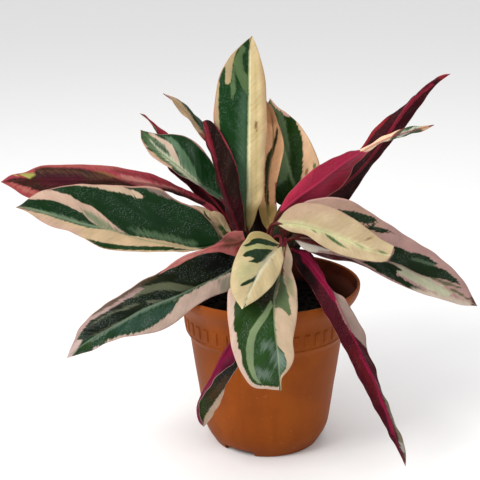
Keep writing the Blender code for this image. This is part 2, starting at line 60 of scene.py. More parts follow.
def sheet_axes():
    right = np.array([math.cos(EYE_YAW), math.sin(EYE_YAW), 0.0])
    ahead = np.array(
        [
            -math.sin(EYE_YAW) * math.cos(EYE_PITCH),
            math.cos(EYE_YAW) * math.cos(EYE_PITCH),
            -math.sin(EYE_PITCH),
        ]
    )
    down = np.cross(ahead, right)
    c, s = math.cos(EYE_ROLL), math.sin(EYE_ROLL)
    return right * c + down * s, down * c - right * s, ahead


ACROSS, DOWN, AHEAD = sheet_axes()


def at(across, down, near):
    """The point in space that the sheet shows at (across, down), near mm in front of the pot's axis."""
    ray = (
        np.multiply.outer((np.asarray(across, float) - SHEET_MIDDLE) / SHEET, ACROSS)
        + np.multiply.outer((np.asarray(down, float) - SHEET_MIDDLE) / SHEET, DOWN)
        + AHEAD
    )
    far = (-np.asarray(near, float) - EYE[1]) / ray[..., 1]
    return EYE + ray * far[..., None]


def on_sheet(points):
    """Where the sheet shows points in space."""
    rel = np.asarray(points, float) - EYE
    deep = rel @ AHEAD
    return np.stack([SHEET_MIDDLE + SHEET * (rel @ ACROSS) / deep, SHEET_MIDDLE + SHEET * (rel @ DOWN) / deep], -1)


# Each blade has three rails from its base to its tip: its left margin, its midrib and its right margin,
# as seen looking along the blade from above it. near gives the midrib's nearness at shares of the length,
# and lift how much nearer each margin is than the midrib, halfway along.
LEAVES = {
    "center_tall": dict(
        left=[(247, 232), (243, 228), (235, 210), (225, 180), (218, 150), (213.5, 118), (214, 108), (216, 92), (217.5, 83), (220, 75), (223, 68), (227, 61), (232, 54), (238, 48), (244, 42.5), (252, 36)],
        mid=[(248, 232), (245, 220), (246.5, 180), (247.5, 140), (248.5, 100), (249, 60), (249.8, 44), (252, 36)],
        right=[(249, 232), (254, 222), (258, 209), (262, 202), (264, 193), (264.5, 170), (266, 150), (267.5, 125), (266.5, 101), (266, 86), (264.5, 74), (261, 60), (257, 47), (252, 36)],
        near=[(0, 5), (0.5, -4), (1, -28)], lift=(4, 4), under=False),
    "center_maroon": dict(
        left=[(245, 231), (243.5, 210), (240, 190), (238, 172), (233, 156), (226, 141), (218, 128), (210, 120.5), (206, 120), (203, 121.5)],
        mid=[(239, 231), (229, 205), (219.5, 178), (214, 156), (209, 138), (203, 121.5)],
        right=[(233, 231), (229, 221), (224, 203), (219, 186), (214, 168), (210, 153), (205, 137), (203, 121.5)],
        near=[(0, 14), (0.4, 17), (1, 2)], lift=(-5, -14), under=True),
    "upper_left": dict(
        left=[(222, 202), (214, 196), (200, 187), (186, 178), (170, 168.5), (158, 161), (147, 150), (141.5, 140), (140.5, 130)],
        mid=[(222.5, 200.5), (210, 190), (198, 183), (186, 173), (175, 164), (165, 156), (156, 148), (148, 139), (140.5, 130)],
        right=[(223, 199), (222, 188), (217, 172), (210, 158.5), (200, 146.5), (194, 141), (188, 137.5), (182, 135), (175, 134), (163, 135), (153, 133), (140.5, 130)],
        near=[(0, -10), (0.5, -18), (1, -36)], lift=(9, -7), under=False),
    "back_left_high": dict(
        left=[(225, 192), (214, 165), (206, 142), (199, 134), (190, 122), (178, 109), (169, 97), (163, 93.5)],
        mid=[(226.5, 191), (218, 162), (208, 138), (200, 127), (189, 115), (179, 105), (163, 93.5)],
        right=[(228, 190), (223, 160), (212, 135), (203, 123), (200, 120), (190, 108.5), (180, 101), (169, 95.5), (163, 93.5)],
        near=[(0, -27), (0.5, -38), (1, -56)], lift=(9, -9), under=False),
    "back_left_red": dict(
        left=[(232, 223), (222, 198), (200, 165), (182, 147), (166, 132), (160, 127), (150, 120), (145, 115), (140, 113.5)],
        mid=[(231, 225), (215, 202), (195, 181), (178, 161), (163, 139), (150, 122), (140, 113.5)],
        right=[(230, 227), (215, 211), (192, 191), (183, 182), (175, 175), (168, 168), (162, 151), (157, 133), (153, 126), (146, 118), (140, 113.5)],
        near=[(0, -15), (0.5, -33), (1, -54)], lift=(-9, 4), under=True),
    "far_left_under": dict(
        left=[(231, 227), (215, 208), (200, 197), (191, 191.5), (185, 190), (170, 181.5), (160, 177), (150, 173.5), (130, 169.3), (110, 166), (90, 164.6), (60, 164.7), (40, 166), (25, 172), (10, 175.5), (1, 182)],
        mid=[(230, 228.5), (215, 214), (190, 197), (165, 188), (130, 182), (95, 180), (60, 180), (30, 180), (1, 182)],
        right=[(229, 230), (222, 221), (210, 210), (190, 200), (170, 192), (145, 190), (120, 194), (90, 199), (60, 201), (40, 201), (24, 196), (12, 188), (1, 182)],
        near=[(0, -6), (0.5, -14), (1, -28)], lift=(-8, 2), under=True),
    "left_broad": dict(
        left=[(216, 245), (200, 250), (185, 251.5), (150, 252), (120, 251), (103, 248.5), (95, 245), (81, 237), (68, 231), (52, 227), (40, 220.5), (27, 212), (16, 207.5)],
        mid=[(218, 243), (205, 247.5), (180, 246.5), (160, 243), (140, 239), (128, 235), (110, 230), (95, 226.5), (80, 223), (60, 217), (40, 211), (28, 208), (16, 207.5)],
        right=[(220, 241), (218, 234), (210, 221), (200, 211), (188, 204.5), (180, 201.5), (168, 194), (160, 189), (150, 186.5), (125, 186), (100, 184.6), (80, 184.3), (60, 186.5), (50, 188.5), (40, 192), (31, 197), (22, 204), (16, 207.5)],
        near=[(0, 17), (0.5, 26), (1, 40)], lift=(8, -12), under=False),
    "lower_left": dict(
        left=[(236, 261), (234, 276), (229, 290), (215, 295.5), (200, 303.5), (190, 310.5), (175, 323), (160, 331), (140, 335), (120, 338.5), (105, 343.5), (92, 351), (80, 354), (67, 358)],
        mid=[(237, 259), (232, 268), (220, 276), (205, 283), (190, 290), (175, 297), (160, 302.5), (140, 311), (125, 320), (110, 328.5), (95, 337), (80, 347), (67, 358)],
        right=[(236, 257), (224, 250.5), (218, 250), (200, 254), (180, 260), (163, 269.5), (155, 275), (147, 278), (133, 286), (120, 295.5), (112, 300), (98, 309), (88, 318.5), (78, 331), (71, 347), (67, 358)],
        near=[(0, 27), (0.5, 55), (1, 72)], lift=(10, -9), under=False),
    "front_small": dict(
        left=[(281.5, 246), (283, 252), (283, 260), (281, 270), (277, 279), (271, 287), (264, 294), (255, 301), (248, 305), (242, 309)],
        mid=[(281, 245), (275, 250), (268, 258), (262, 267), (257, 277), (252, 288), (247, 299), (242, 309)],
        right=[(280, 244), (275, 240.5), (268, 235), (262, 231.5), (255, 231.2), (250, 233), (246, 239), (241, 246), (237, 254), (233, 264), (231, 274), (230, 283), (231, 290), (234, 297), (238, 303), (242, 309)],
        near=[(0, 50), (0.5, 80), (1, 97)], lift=(2, -4), under=False),
    "front_hanging": dict(
        left=[(286.5, 242), (289, 248), (292, 256), (292.5, 263), (291.5, 270), (296, 285), (297.5, 296), (297, 315), (294.5, 332), (293, 342), (294, 357), (289, 370), (282, 378), (281, 390.5)],
        mid=[(285, 242), (282, 262), (279, 277), (274.5, 295), (274, 315), (275.5, 335), (278, 355), (279.5, 375), (281, 390.5)],
        right=[(283.5, 243), (270, 256), (250, 272), (236, 282), (229, 289), (227.5, 302), (227.3, 314), (229, 330), (232, 348), (238, 366), (247, 382), (254, 387), (268, 389), (281, 390.5)],
        near=[(0, 38), (0.25, 62), (0.46, 83), (0.8, 94), (1, 92)], lift=(2, 2), under=False),
    "front_low_folded": dict(
        left=[(234, 342), (238, 352), (238.5, 364), (229, 380), (221, 400), (214, 414), (204, 426.5)],
        mid=[(232, 341), (222, 356), (211, 378), (203, 392), (198, 404), (197, 412), (199.5, 422), (204, 426.5)],
        right=[(233.5, 343), (235.5, 350), (235, 360), (220, 374), (206, 391), (200, 403), (199, 413), (204, 426.5)],
        near=[(0, 77), (0.4, 78), (1, 62)], lift=(-5, 9), under=False),
    "right_hanging": dict(
        left=[(291.5, 252), (297, 268), (310, 286), (322, 308), (340, 340), (360, 380), (380, 418), (395, 445), (405.5, 466)],
        mid=[(293, 250), (303, 255), (318, 273), (332, 293), (344, 318), (362, 355), (377, 387), (387, 413), (396, 440), (405.5, 466)],
        right=[(295, 248), (310, 252), (319, 266), (328, 284), (334, 291), (343, 297), (355, 315), (365, 335), (367.5, 350), (373, 362), (379, 382), (387, 402), (394, 420), (402, 438), (406, 455), (405.5, 466)],
        near=[(0, 14), (0.14, 42), (0.3, 66), (0.6, 80), (1, 84)], lift=(3, -9), under=True),
    "right_broad": dict(
        left=[(295, 236), (293, 222), (302, 204), (318, 198), (340, 198), (358, 204), (380, 219), (400, 231), (420, 244.5), (440, 257), (456, 272), (469, 290), (477, 306)],
        mid=[(295, 238), (305, 238), (340, 245), (375, 257), (390, 262), (402, 266), (415, 273), (428, 279), (440, 286), (452, 292), (464, 299), (477, 306)],
        right=[(295, 240), (304, 249), (314, 254), (325, 258), (335, 260.5), (347, 261.2), (356, 263), (366, 267.6), (380, 275), (400, 285), (420, 293), (440, 299), (462, 305), (477, 306)],
        near=[(0, 24), (0.5, 38), (1, 52)], lift=(-14, 8), under=False),
    "right_cream": dict(
        left=[(277, 222), (285, 212), (297, 204), (312, 203), (330, 207), (348, 215), (367, 228.5), (383, 240), (394, 246)],
        mid=[(277.5, 223.5), (300, 225.5), (325, 232.5), (350, 242), (373, 252), (391, 255.5)],
        right=[(278, 225), (290, 231.5), (306, 235), (320, 244.5), (336, 253), (358, 259), (380, 262), (387, 261)],
        near=[(0, 30), (0.5, 52), (1, 68)], lift=(-7, 5), under=False),
    "right_magenta": dict(
        left=[(283, 213), (300, 209), (318, 203), (332, 194), (347, 180), (357, 163), (371, 150), (388, 140.5), (410, 135), (425, 130), (434, 125)],
        mid=[(281, 212), (298, 198), (318, 184), (338, 168), (356, 156), (372, 146), (390, 137.5), (410, 131.5), (434, 125)],
        right=[(279, 211), (285, 199), (297, 184), (310, 172), (330, 159), (350, 152), (359, 149.5), (375, 141.5), (390, 133.5), (403, 128), (416, 126.5), (434, 125)],
        near=[(0, 10), (0.5, 2), (1, -22)], lift=(-14, -9), under=True),
    "far_right_maroon": dict(
        left=[(283, 224), (315, 215), (335, 210), (348, 201), (360, 183), (376, 161), (392, 142), (405, 127), (411, 119), (421, 105), (430, 92), (439, 82.5), (450, 74)],
        mid=[(282, 222), (315, 203), (345, 184), (365, 165), (390, 131), (403, 112), (420, 91), (436, 79), (450, 74)],
        right=[(281, 220), (310, 192), (340, 166), (362, 147), (372, 131), (385, 119), (400, 108), (414, 97), (432, 81), (444, 74.5), (450, 74)],
        near=[(0, -10), (0.5, -30), (1, -55)], lift=(-3, -9), under=True),
    "back_right_high": dict(
        left=[(290, 208), (277, 203), (267, 188), (262.5, 165), (261, 138), (263, 115), (270, 98.5)],
        mid=[(292, 207), (294, 188), (291, 170), (286, 150), (280, 122), (270, 98.5)],
        right=[(294, 206), (308, 193), (318, 180), (320, 167), (317, 156), (309, 139), (299, 124), (288, 114), (278, 107), (270, 98.5)],
        near=[(0, -24), (0.5, -32), (1, -46)], lift=(3, 3), under=False),
    "center_cream": dict(
        left=[(270, 233), (262, 222), (258, 205), (258, 180), (260, 150), (262, 125), (266.5, 101)],
        mid=[(271.5, 234), (268, 218), (266.5, 200), (269, 172), (273, 146), (272, 120), (266.5, 101)],
        right=[(273, 235), (276, 225), (277, 208), (275.5, 195), (276.5, 184), (281, 165), (284, 146), (281, 131), (277, 120), (272, 107), (266.5, 101)],
        near=[(0, -3), (0.5, -13), (1, -30)], lift=(-2, 3), under=False),
    "left_tip_small": dict(
        left=[(229, 238), (221, 237), (215, 228), (210, 218), (209, 212.5)],
        mid=[(230.5, 236), (224, 227), (217, 218), (209, 212.5)],
        right=[(232, 234), (230, 228), (223, 216), (214, 211), (209, 212.5)],
        near=[(0, 8), (0.5, 5), (1, 2)], lift=(2, -3), under=False),
    "rear_upright": dict(
        left=[(259, 216), (235, 196), (224, 165), (224, 132), (231, 108), (241, 96)],
        mid=[(261, 215), (250, 190), (244, 160), (241, 130), (240, 110), (241, 96)],
        right=[(263, 214), (263, 190), (262, 160), (258, 130), (250, 108), (241, 96)],
        near=[(0, -36), (0.5, -60), (1, -92)], lift=(4, 4), under=False),
    "rear_right": dict(
        left=[(283, 226), (292, 205), (303, 190), (318, 178), (334, 174), (346, 176)],
        mid=[(284, 228), (300, 212), (315, 200), (330, 188), (346, 176)],
        right=[(285, 230), (305, 222), (325, 212), (338, 200), (344, 188), (346, 176)],
        near=[(0, -26), (0.5, -66), (1, -104)], lift=(-6, 6), under=False),
    "rear_left": dict(
        left=[(236, 214), (218, 200), (202, 188), (185, 178), (172, 166), (166, 152)],
        mid=[(237, 212), (222, 196), (205, 180), (188, 168), (166, 152)],
        right=[(238, 210), (232, 192), (218, 176), (200, 161), (182, 152), (166, 152)],
        near=[(0, -40), (0.5, -72), (1, -108)], lift=(6, -6), under=False),
    "rear_hanging": dict(
        left=[(263, 230), (250, 238), (242, 256), (240, 275), (246, 290), (258, 302)],
        mid=[(266, 229), (265, 240), (263, 258), (261, 280), (258, 302)],
        right=[(269, 230), (280, 240), (284, 256), (281, 276), (272, 292), (258, 302)],
        near=[(0, -40), (0.35, -88), (0.7, -118), (1, -132)], lift=(3, 3), under=False),
    "rear_left_low": dict(
        left=[(242, 234), (225, 240), (200, 242), (170, 240), (140, 232), (112, 215)],
        mid=[(243, 232), (220, 226), (195, 222), (168, 220), (140, 218), (112, 215)],
        right=[(244, 230), (231, 219), (210, 209), (180, 204), (145, 204), (112, 215)],
        near=[(0, -20), (0.5, -72), (1, -112)], lift=(6, -6), under=False),
    "rear_right_low": dict(
        left=[(286, 224), (300, 212), (330, 214), (360, 226), (388, 242), (410, 265)],
        mid=[(287, 226), (310, 224), (340, 234), (365, 245), (388, 255), (410, 265)],
        right=[(288, 228), (305, 240), (335, 250), (360, 260), (385, 270), (410, 265)],
        near=[(0, -22), (0.5, -64), (1, -100)], lift=(-6, 6), under=False),
}

# Margins that roll over and show the underside, built as narrow blades of their own on their leaf.
FOLDS = {
    "lower_left": dict(
        left=[(243, 231), (231, 232), (226, 234), (218, 243), (200, 250), (185, 255), (172, 263), (159, 274.5)],
        mid=[(245, 239), (234, 243), (224, 244), (214, 247.5), (200, 252.3), (185, 257.8), (172, 265.4), (159, 274.5)],
        right=[(246, 250), (239, 257), (229, 254.6), (218, 251.5), (200, 255), (185, 261.2), (172, 268), (159, 274.5)],
        near=[(0, 30), (0.4, 37), (1, 50)], lift=(-1, 2.5), under=True),
    "crown_right": dict(
        left=[(279, 262), (274, 240), (274, 222), (279, 208), (288, 199)],
        mid=[(284, 263), (281, 240), (282, 222), (285, 208), (288, 199)],
        right=[(290, 264), (293, 241), (296, 224), (295, 210), (288, 199)],
        near=[(0, 0), (0.5, 2), (1, 0)], lift=(-2, -2), under=True),
    # This sheath fills the gap at the back of the crown; its near-black colour there is painted shade.
    "crown_far": dict(
        left=[(262, 262), (252, 240), (250, 222), (255, 206), (262, 196)],
        mid=[(268, 264), (263, 240), (262, 222), (262, 208), (262, 196)],
        right=[(276, 265), (276, 241), (276, 222), (271, 206), (262, 196)],
        near=[(0, -12), (0.5, -15), (1, -20)], lift=(2, 2), under=True),
    "crown_side": dict(
        left=[(282, 264), (287, 246), (294, 232), (304, 220), (313, 213)],
        mid=[(285, 266), (292, 248), (299, 235), (306, 223), (313, 213)],
        right=[(289, 268), (299, 250), (305, 238), (310, 225), (313, 213)],
        near=[(0, 4), (0.5, 4), (1, 0)], lift=(-2, -2), under=True),
    "crown_left": dict(
        left=[(236, 262), (232, 246), (234, 232), (240, 220), (249, 211)],
        mid=[(242, 264), (241, 246), (243, 232), (246, 221), (249, 211)],
        right=[(250, 265), (252, 247), (254, 233), (253, 221), (249, 211)],
        near=[(0, 2), (0.5, 3), (1, 2)], lift=(-2, -2), under=True),
}

STALK_FOOT = {
    "upper_left": (-25.0, 8.5),
    "far_left_under": (-15.5, -2.5),
    "left_tip_small": (-11.5, -6.0),
    "rear_upright": (-5.0, 13.0),
    "rear_hanging": (3.0, 20.0),
    "rear_right": (5.0, 14.0),
    "rear_right_low": (13.0, 6.0),
    "back_right_high": (15.0, 13.0),
    "front_small": (-2.0, -16.0),
    "front_low_folded": (-6.0, -25.0),
}
STALK_BY = {
    "front_small": [(265, 262, 15), (272, 240, 23), (280, 236.5, 38)],
    "front_low_folded": [(251, 268, 40), (240, 288, 62), (237, 306, 72), (234, 326, 76)],
}


def srgb(*colour, tone=1.0):
    """A colour given as three numbers to 255 on a screen, as the shader takes it, with its dark tones held down."""
    out = []
    held = (0.65 + 0.23 * max(colour) / 255.0) * tone
    for c in colour:
        c = min(max(c / 255.0, 0.0), 1.0) * held
        out.append(c / 12.92 if c <= 0.04045 else ((c + 0.055) / 1.055) ** 2.4)
    # Gloss lays a little white light over every tone, so the least of the three is held down by as much.
    spare = 0.55 * min(min(out), 0.011)
    return (*[c - spare for c in out], 1.0)


# ---------------------------------------------------------------------------------------------------------------
# The markings. Each leaf has a ground colour and then areas that lie one over the other, drawn as outlines on the
# front sheet. An area is green, mid, pale, cream or dark, which says what its other side looks like. Some areas are
# painted shade and one is a painted highlight, as said where they stand; a tone above 1 is painted light.
def area(kind, colour, *outlines, soft=0.7, rag=1.0, mix=1.0):
    return dict(kind=kind, colour=colour, outlines=outlines, soft=soft, rag=rag, mix=mix)


MARKS = {
    "center_tall": dict(ground=(30, 74, 43), edge=(205, 150, 120), rib=(120, 150, 105), areas=[
        area("mid", (92, 128, 96), [(240, 92), (248.7, 86), (248.5, 226), (241, 226), (238, 150)], soft=5, rag=2, mix=0.7),
        area("cream", (218, 192, 142), [(249.4, 36), (252, 30), (282, 34), (282, 242), (246, 242), (247.2, 140), (248.3, 100), (248.9, 60)], soft=0.5, rag=0.25),
        area("cream", (188, 154, 114), [(259, 50), (285, 60), (285, 215), (261, 215), (262.5, 120), (262, 90)], soft=3, rag=1, mix=0.8),
        area("pale", (196, 180, 112), [(254.3, 62), (256.3, 62), (257.6, 130), (257.2, 200), (255, 200), (255.2, 120)], soft=1.4, mix=0.65),
        area("cream", (236, 228, 178), [(248.6, 50), (250.8, 50), (250.5, 225), (246, 225), (247.5, 140)], soft=0.9, rag=0.3),
        area("pale", (165, 140, 78), [(244, 207), (270, 202), (270, 245), (240, 245)], soft=6, mix=0.8),
        area("pale", (150, 112, 66), [(255, 121), (257.4, 122), (257, 131), (255.3, 130)], soft=0.8),
        area("pale", (105, 132, 86), [(243, 44.5), (246, 48), (242.5, 55), (242.5, 65), (244, 70), (248, 76), (248.5, 95), (246, 93), (243, 89), (241, 86), (238, 78), (235, 69), (233.5, 67), (233.5, 61), (237, 54), (240, 48)],
             [(231.5, 76), (232.5, 68), (234, 69), (235, 78), (236, 89), (233.5, 97), (232.5, 101), (231, 94), (230.5, 85)], soft=0.9, rag=0.7),
        area("cream", (196, 172, 128), [(246, 41), (240, 41), (228, 53), (219, 67), (225.5, 67), (225, 84), (229, 84.5), (231, 81), (232, 70), (233, 62), (236, 52), (240, 47)],
             [(219.5, 76), (214, 88), (210, 98), (210, 118), (215, 130), (220, 131), (219, 118), (218.5, 105), (218.8, 95), (219.3, 86)], rag=0.35),
        area("cream", (205, 150, 128), [(209, 102), (215.6, 102), (216.4, 118), (210, 119)], soft=1.2, rag=0.4, mix=0.8),
    ]),
    "center_maroon": dict(tone=0.86, ground=(46, 24, 20), edge=(150, 45, 55), rib=(120, 30, 45), areas=[
        area("dark", (60, 40, 32), [(219, 150), (230, 160), (238, 190), (240, 215), (232, 210), (224, 180)], soft=5, mix=0.8),
        area("green", (72, 18, 26), [(198, 114), (204, 119), (211, 140), (217, 158), (223, 178), (233, 203), (246, 235), (226, 236), (208, 160)], soft=1.6, rag=0.5),
        area("green", (74, 22, 28), [(226, 198), (248, 198), (250, 236), (228, 236)], soft=5),
        area("cream", (182, 56, 74), [(202.5, 121), (206, 121), (211, 139), (215, 152), (217.5, 164), (213.6, 158), (207.5, 143)], soft=1.5, rag=0.5, mix=0.9),
        area("cream", (196, 82, 92), [(215, 124), (219, 125), (230, 143), (237, 158), (242, 175), (239, 175), (233, 158), (226, 144)], soft=0.9, rag=0.4, mix=0.85),
    ]),
    # tone above 1: painted light.
    "upper_left": dict(tone=1.08, ground=(22, 58, 33), edge=(205, 158, 142), rib=(120, 145, 105), areas=[
        area("mid", (84, 116, 72), [(141, 131), (150, 134), (153, 138), (160, 143), (168, 149), (170, 153), (165, 155), (180, 168), (190, 176), (182, 174), (170, 166), (158, 158), (148, 148), (142, 139)], soft=1.2),
        area("mid", (92, 124, 92), [(163, 135.5), (167, 140), (172, 145), (177, 152), (179, 160), (183, 168), (190, 176), (197, 182), (200, 185), (199, 180), (196, 172), (193, 165), (189, 158), (184, 151), (179, 144), (172, 137.5)], soft=1.2, rag=0.8),
        area("mid", (98, 130, 100), [(196, 183), (206, 187), (214, 192), (224, 196), (224, 204), (214, 199), (200, 189)], soft=2.5, mix=0.7),
        area("pale", (142, 160, 134), [(148, 139), (160, 142), (170, 147), (178, 158), (186, 168), (200, 182), (206, 190), (190, 180), (176, 168), (162, 156), (150, 146)], soft=3.0, rag=1.6, mix=0.6),
        area("dark", (52, 74, 56), [(151, 139.5), (157, 142), (163, 146), (169, 150.5), (172, 155), (166, 153.6), (159, 149), (153, 144.5)], soft=1.0, rag=1.0, mix=0.85),
        area("cream", (203, 178, 156), [(148, 131.5), (155, 134.5), (160, 138), (166, 140), (171, 144), (175, 150), (177, 155), (179, 161), (182, 168), (188, 174), (193, 178.5), (190, 178), (183, 172), (177, 165), (172, 158), (168, 151), (163, 144), (156, 139), (150, 135)], soft=0.8, rag=0.6),
        area("cream", (214, 219, 186), [(150, 140), (158, 147.6), (165, 153.4), (172, 157.6), (180, 165), (186, 171), (194, 178), (201, 184.6), (196, 183.6), (188, 178), (180, 172), (172, 164.6), (165, 158), (158, 151)], soft=1.5, rag=0.9, mix=0.85),
        area("cream", (208, 158, 150), [(187, 134), (196, 137), (205, 142), (213, 152), (213, 160), (209, 158), (204, 152), (198, 146), (193, 141)], soft=0.7, rag=0.4),
        area("cream", (205, 165, 138), [(138, 140), (142.5, 140), (147, 147.5), (158, 157.5), (172, 166.5), (172, 174), (155, 166), (142, 152)], soft=0.9, rag=0.6, mix=0.9),
        area("pale", (125, 92, 66), [(137, 126), (142, 128), (143, 134), (138, 136)], soft=1.2),
    ]),
    "back_left_high": dict(ground=(30, 62, 34), edge=(205, 165, 140), rib=(150, 150, 110), areas=[
        area("cream", (196, 162, 122), [(164, 92), (169, 95), (175, 98), (181, 101.5), (186, 108.5), (192, 116.5), (197, 124.5), (202, 131.5), (206, 137), (204, 138.5), (199, 135.5), (192, 128), (186, 121), (180, 113), (174, 105), (166, 97)], soft=0.8, rag=0.7),
        area("cream", (140, 38, 40), [(197, 133), (205, 134), (212, 146), (205, 146)], soft=2, mix=0.8),
    ]),
    "back_left_red": dict(ground=(58, 8, 16), edge=(196, 72, 78), rib=(165, 40, 55), areas=[
        area("green", (172, 50, 62), [(136, 108), (162, 124), (176, 138), (168, 146), (154, 136), (140, 120)], soft=5, rag=0.5),
        area("cream", (120, 100, 84), [(138, 110), (144, 112.5), (144, 117), (138, 117)], soft=1.4, mix=0.8),
    ]),
    "far_left_under": dict(ground=(176, 66, 80), edge=(196, 108, 98), rib=(92, 38, 40), areas=[
        area("cream", (186, 98, 90), [(30, 160), (95, 160), (125, 164), (125, 171), (90, 168.5), (60, 168), (30, 171)], soft=2, rag=2, mix=0.8),
        area("dark", (120, 50, 46), [(110, 169), (140, 173.6), (165, 181), (190, 191.6), (196, 196), (170, 187.6), (140, 178), (115, 172.4)], soft=1.6, rag=2.4, mix=0.6),
        area("dark", (128, 40, 58), [(130, 184), (160, 187), (190, 196), (205, 203), (180, 198), (150, 192)], soft=2.0, rag=2.0, mix=0.7),
        area("dark", (66, 42, 34), [(5, 181), (12, 178), (30, 177.5), (35, 172.5), (35, 169), (45, 167.2), (60, 167.6), (80, 168.2), (90, 170.4), (105, 173.8), (118, 178.5), (133, 184.5), (150, 190), (130, 193), (60, 205), (38, 205), (25, 187), (12, 183)], soft=1.2, rag=0.9),
        area("pale", (128, 84, 64), [(36, 170), (60, 170), (90, 172.5), (112, 178), (100, 179), (80, 174), (40, 173)], soft=3, rag=3, mix=0.5),
        area("dark", (84, 22, 42), [(36, 176), (56, 173.5), (80, 175.5), (86, 181), (70, 186), (44, 186)], soft=3.5, rag=1.5, mix=0.85),
        area("cream", (150, 50, 56), [(10, 180.6), (40, 181.6), (70, 184.6), (100, 187), (70, 187.4), (40, 184.6)], soft=1.6, rag=2.4, mix=0.15),
        area("cream", (204, 146, 134), [(118, 174.4), (140, 178.6), (165, 186), (182, 192), (170, 193), (150, 188), (130, 182), (118, 177)], soft=1.5, rag=2.2, mix=0.6),
        area("pale", (180, 180, 92), [(14, 175), (22, 173.8), (29, 172.6), (33, 173), (35, 175), (32.5, 177.6), (29, 178), (21, 176)], soft=1.0, rag=1.2),
        area("pale", (150, 108, 66), [(94, 170), (106, 172), (122, 177.8), (130, 181.6), (118, 178.6), (104, 174.2), (94, 171.4)], soft=0.9, rag=0.6, mix=0.7),
        area("cream", (172, 78, 78), [(0, 181), (12, 182.4), (25, 186.6), (39, 191), (30, 205), (8, 200)], soft=0.9, rag=0.9),
        area("cream", (206, 132, 118), [(12, 182.6), (24, 187), (37, 192.6), (34, 195.6), (22, 190), (12, 184.6)], soft=1.2, rag=2.2, mix=0.5),
        area("dark", (42, 22, 20), [(160, 187.5), (172, 189.5), (186, 195), (206, 203), (200, 208), (170, 197)], soft=1.0, rag=0.4),
    ]),
    "left_broad": dict(ground=(25, 60, 35), edge=(222, 168, 150), rib=(160, 178, 138), areas=[
        area("mid", (118, 146, 114), [(30, 208), (60, 214), (80, 221), (98, 226), (98, 229), (88, 228), (75, 224), (60, 220), (45, 215), (25, 209)], soft=1.2, mix=0.95),
        area("mid", (104, 134, 96), [(130, 228), (160, 233), (196, 243), (196, 247), (175, 242), (160, 239), (140, 235)], soft=3.0, rag=2, mix=0.85),
        area("dark", (38, 66, 58), [(110, 200), (140, 204), (165, 214), (180, 226), (150, 222), (120, 212)], soft=7, rag=3, mix=0.55),
        area("cream", (214, 180, 158), [(20, 199), (28, 196), (38, 191.5), (48, 190), (56, 191), (60, 192.7), (70, 195), (74, 198.6), (82, 202.6), (90, 205.6), (98, 210.6), (106, 217.5), (114, 224.6), (122, 230.6), (130, 235), (110, 230), (100, 227), (96, 225), (90, 221), (85, 216), (82, 213), (76, 210), (70, 207), (63, 204), (55, 201), (45, 199.5), (30, 199.5)], soft=0.6, rag=0.4),
        area("pale", (112, 142, 104), [(80, 209), (90, 212), (97, 216), (104, 221), (112, 227), (124, 233), (115, 232), (105, 229), (98, 226), (92, 221), (85, 215)], soft=1.8, rag=2.2, mix=0.8),
        area("cream", (220, 190, 150), [(10, 206), (16, 208), (45, 214.7), (60, 219.7), (75, 224.2), (88, 228.2), (110, 229.7), (128, 235.7), (140, 236.9), (160, 240.3), (175, 243.2), (190, 247), (202, 249), (202, 262), (120, 262), (60, 240), (10, 215)], soft=0.6, rag=0.4),
        area("cream", (218, 176, 160), [(10, 206), (20, 208), (50, 219), (80, 231), (80, 245), (10, 220)], soft=5, mix=0.7),
        area("green", (36, 70, 42), [(86, 238.5), (100, 242), (115, 244.5), (130, 246), (165, 246.5), (185, 249.3), (195, 250.3), (150, 250.7), (115, 249.5), (103, 248), (95, 244.5)], soft=0.6, rag=0.45),
        area("cream", (212, 184, 156), [(70, 182), (100, 181), (118, 184), (124, 187.6), (133, 190.2), (140, 193.4), (146, 197.6), (140, 198), (136, 197.6), (132, 195.2), (126, 194.6), (122, 193), (114, 192), (107, 189.8), (98, 187.8), (90, 186.4), (75, 186)], soft=0.6, rag=0.8),
        area("mid", (150, 128, 118), [(140, 182), (150, 184), (170, 190), (184, 202), (174, 199.5), (165, 197.5), (157, 194.5), (148, 190.5)], soft=1.2, rag=1.0, mix=0.9),
    ]),
    "lower_left": dict(tone=0.9, ground=(38, 76, 56), edge=(206, 162, 150), rib=(140, 158, 132), areas=[
        # The next area is the leaf's dark green deepened by painted shade over its upper part; the one after is
        # painted shade, near black, at the base under the crown.
        area("dark", (24, 36, 10), [(240, 245), (150, 268), (125, 290), (100, 306), (78, 330), (95, 336), (110, 328), (125, 319.5), (140, 310.5), (160, 302), (175, 296.5), (190, 289.5), (205, 282.5), (220, 275.5), (240, 262)], soft=0.7, rag=0.3),
        area("dark", (16, 16, 11), [(198, 250), (240, 244), (240, 272), (214, 278), (200, 268)], soft=6, mix=0.9),
        area("mid", (118, 124, 94), [(128, 293), (140, 288), (150, 285), (160, 282.5), (170, 282), (180, 284), (190, 286), (200, 287), (192, 289.5), (183, 291.5), (175, 291), (165, 290), (158, 290), (148, 293), (140, 295), (132, 298)], soft=1.1, rag=0.8),
        area("cream", (204, 170, 162), [(60, 362), (66, 345), (74, 328), (86, 312), (98, 303), (110, 297), (133, 287), (145, 288.5), (130, 297.6), (121, 303), (111, 308.6), (99, 315.6), (90.6, 321), (84, 328), (78, 338), (73, 349)], soft=0.8, rag=0.7),
        area("pale", (132, 136, 110), [(86, 331), (94, 322), (110, 313.4), (126, 306.6), (140, 303), (130, 308.6), (112, 316.6), (98, 325.6), (90, 331)], [(146, 301), (160, 297.6), (176, 298.4), (186, 295), (176, 301), (160, 302), (148, 304)], [(92, 336), (108, 327), (126, 318.6), (140, 312), (128, 320.6), (110, 330), (96, 338)], soft=1.2, rag=1.4, mix=0.75),
        area("pale", (152, 118, 108), [(112, 296), (133, 286), (145, 288), (124, 299), (112, 304)], soft=2.5, mix=0.7),
        area("mid", (88, 66, 34), [(92, 306), (112, 297), (133, 284.6), (148, 276.4), (158, 272), (157, 278), (147, 283), (133, 290.6), (115, 303), (100, 311.5), (92, 316)], soft=0.8, rag=0.8, mix=0.8),
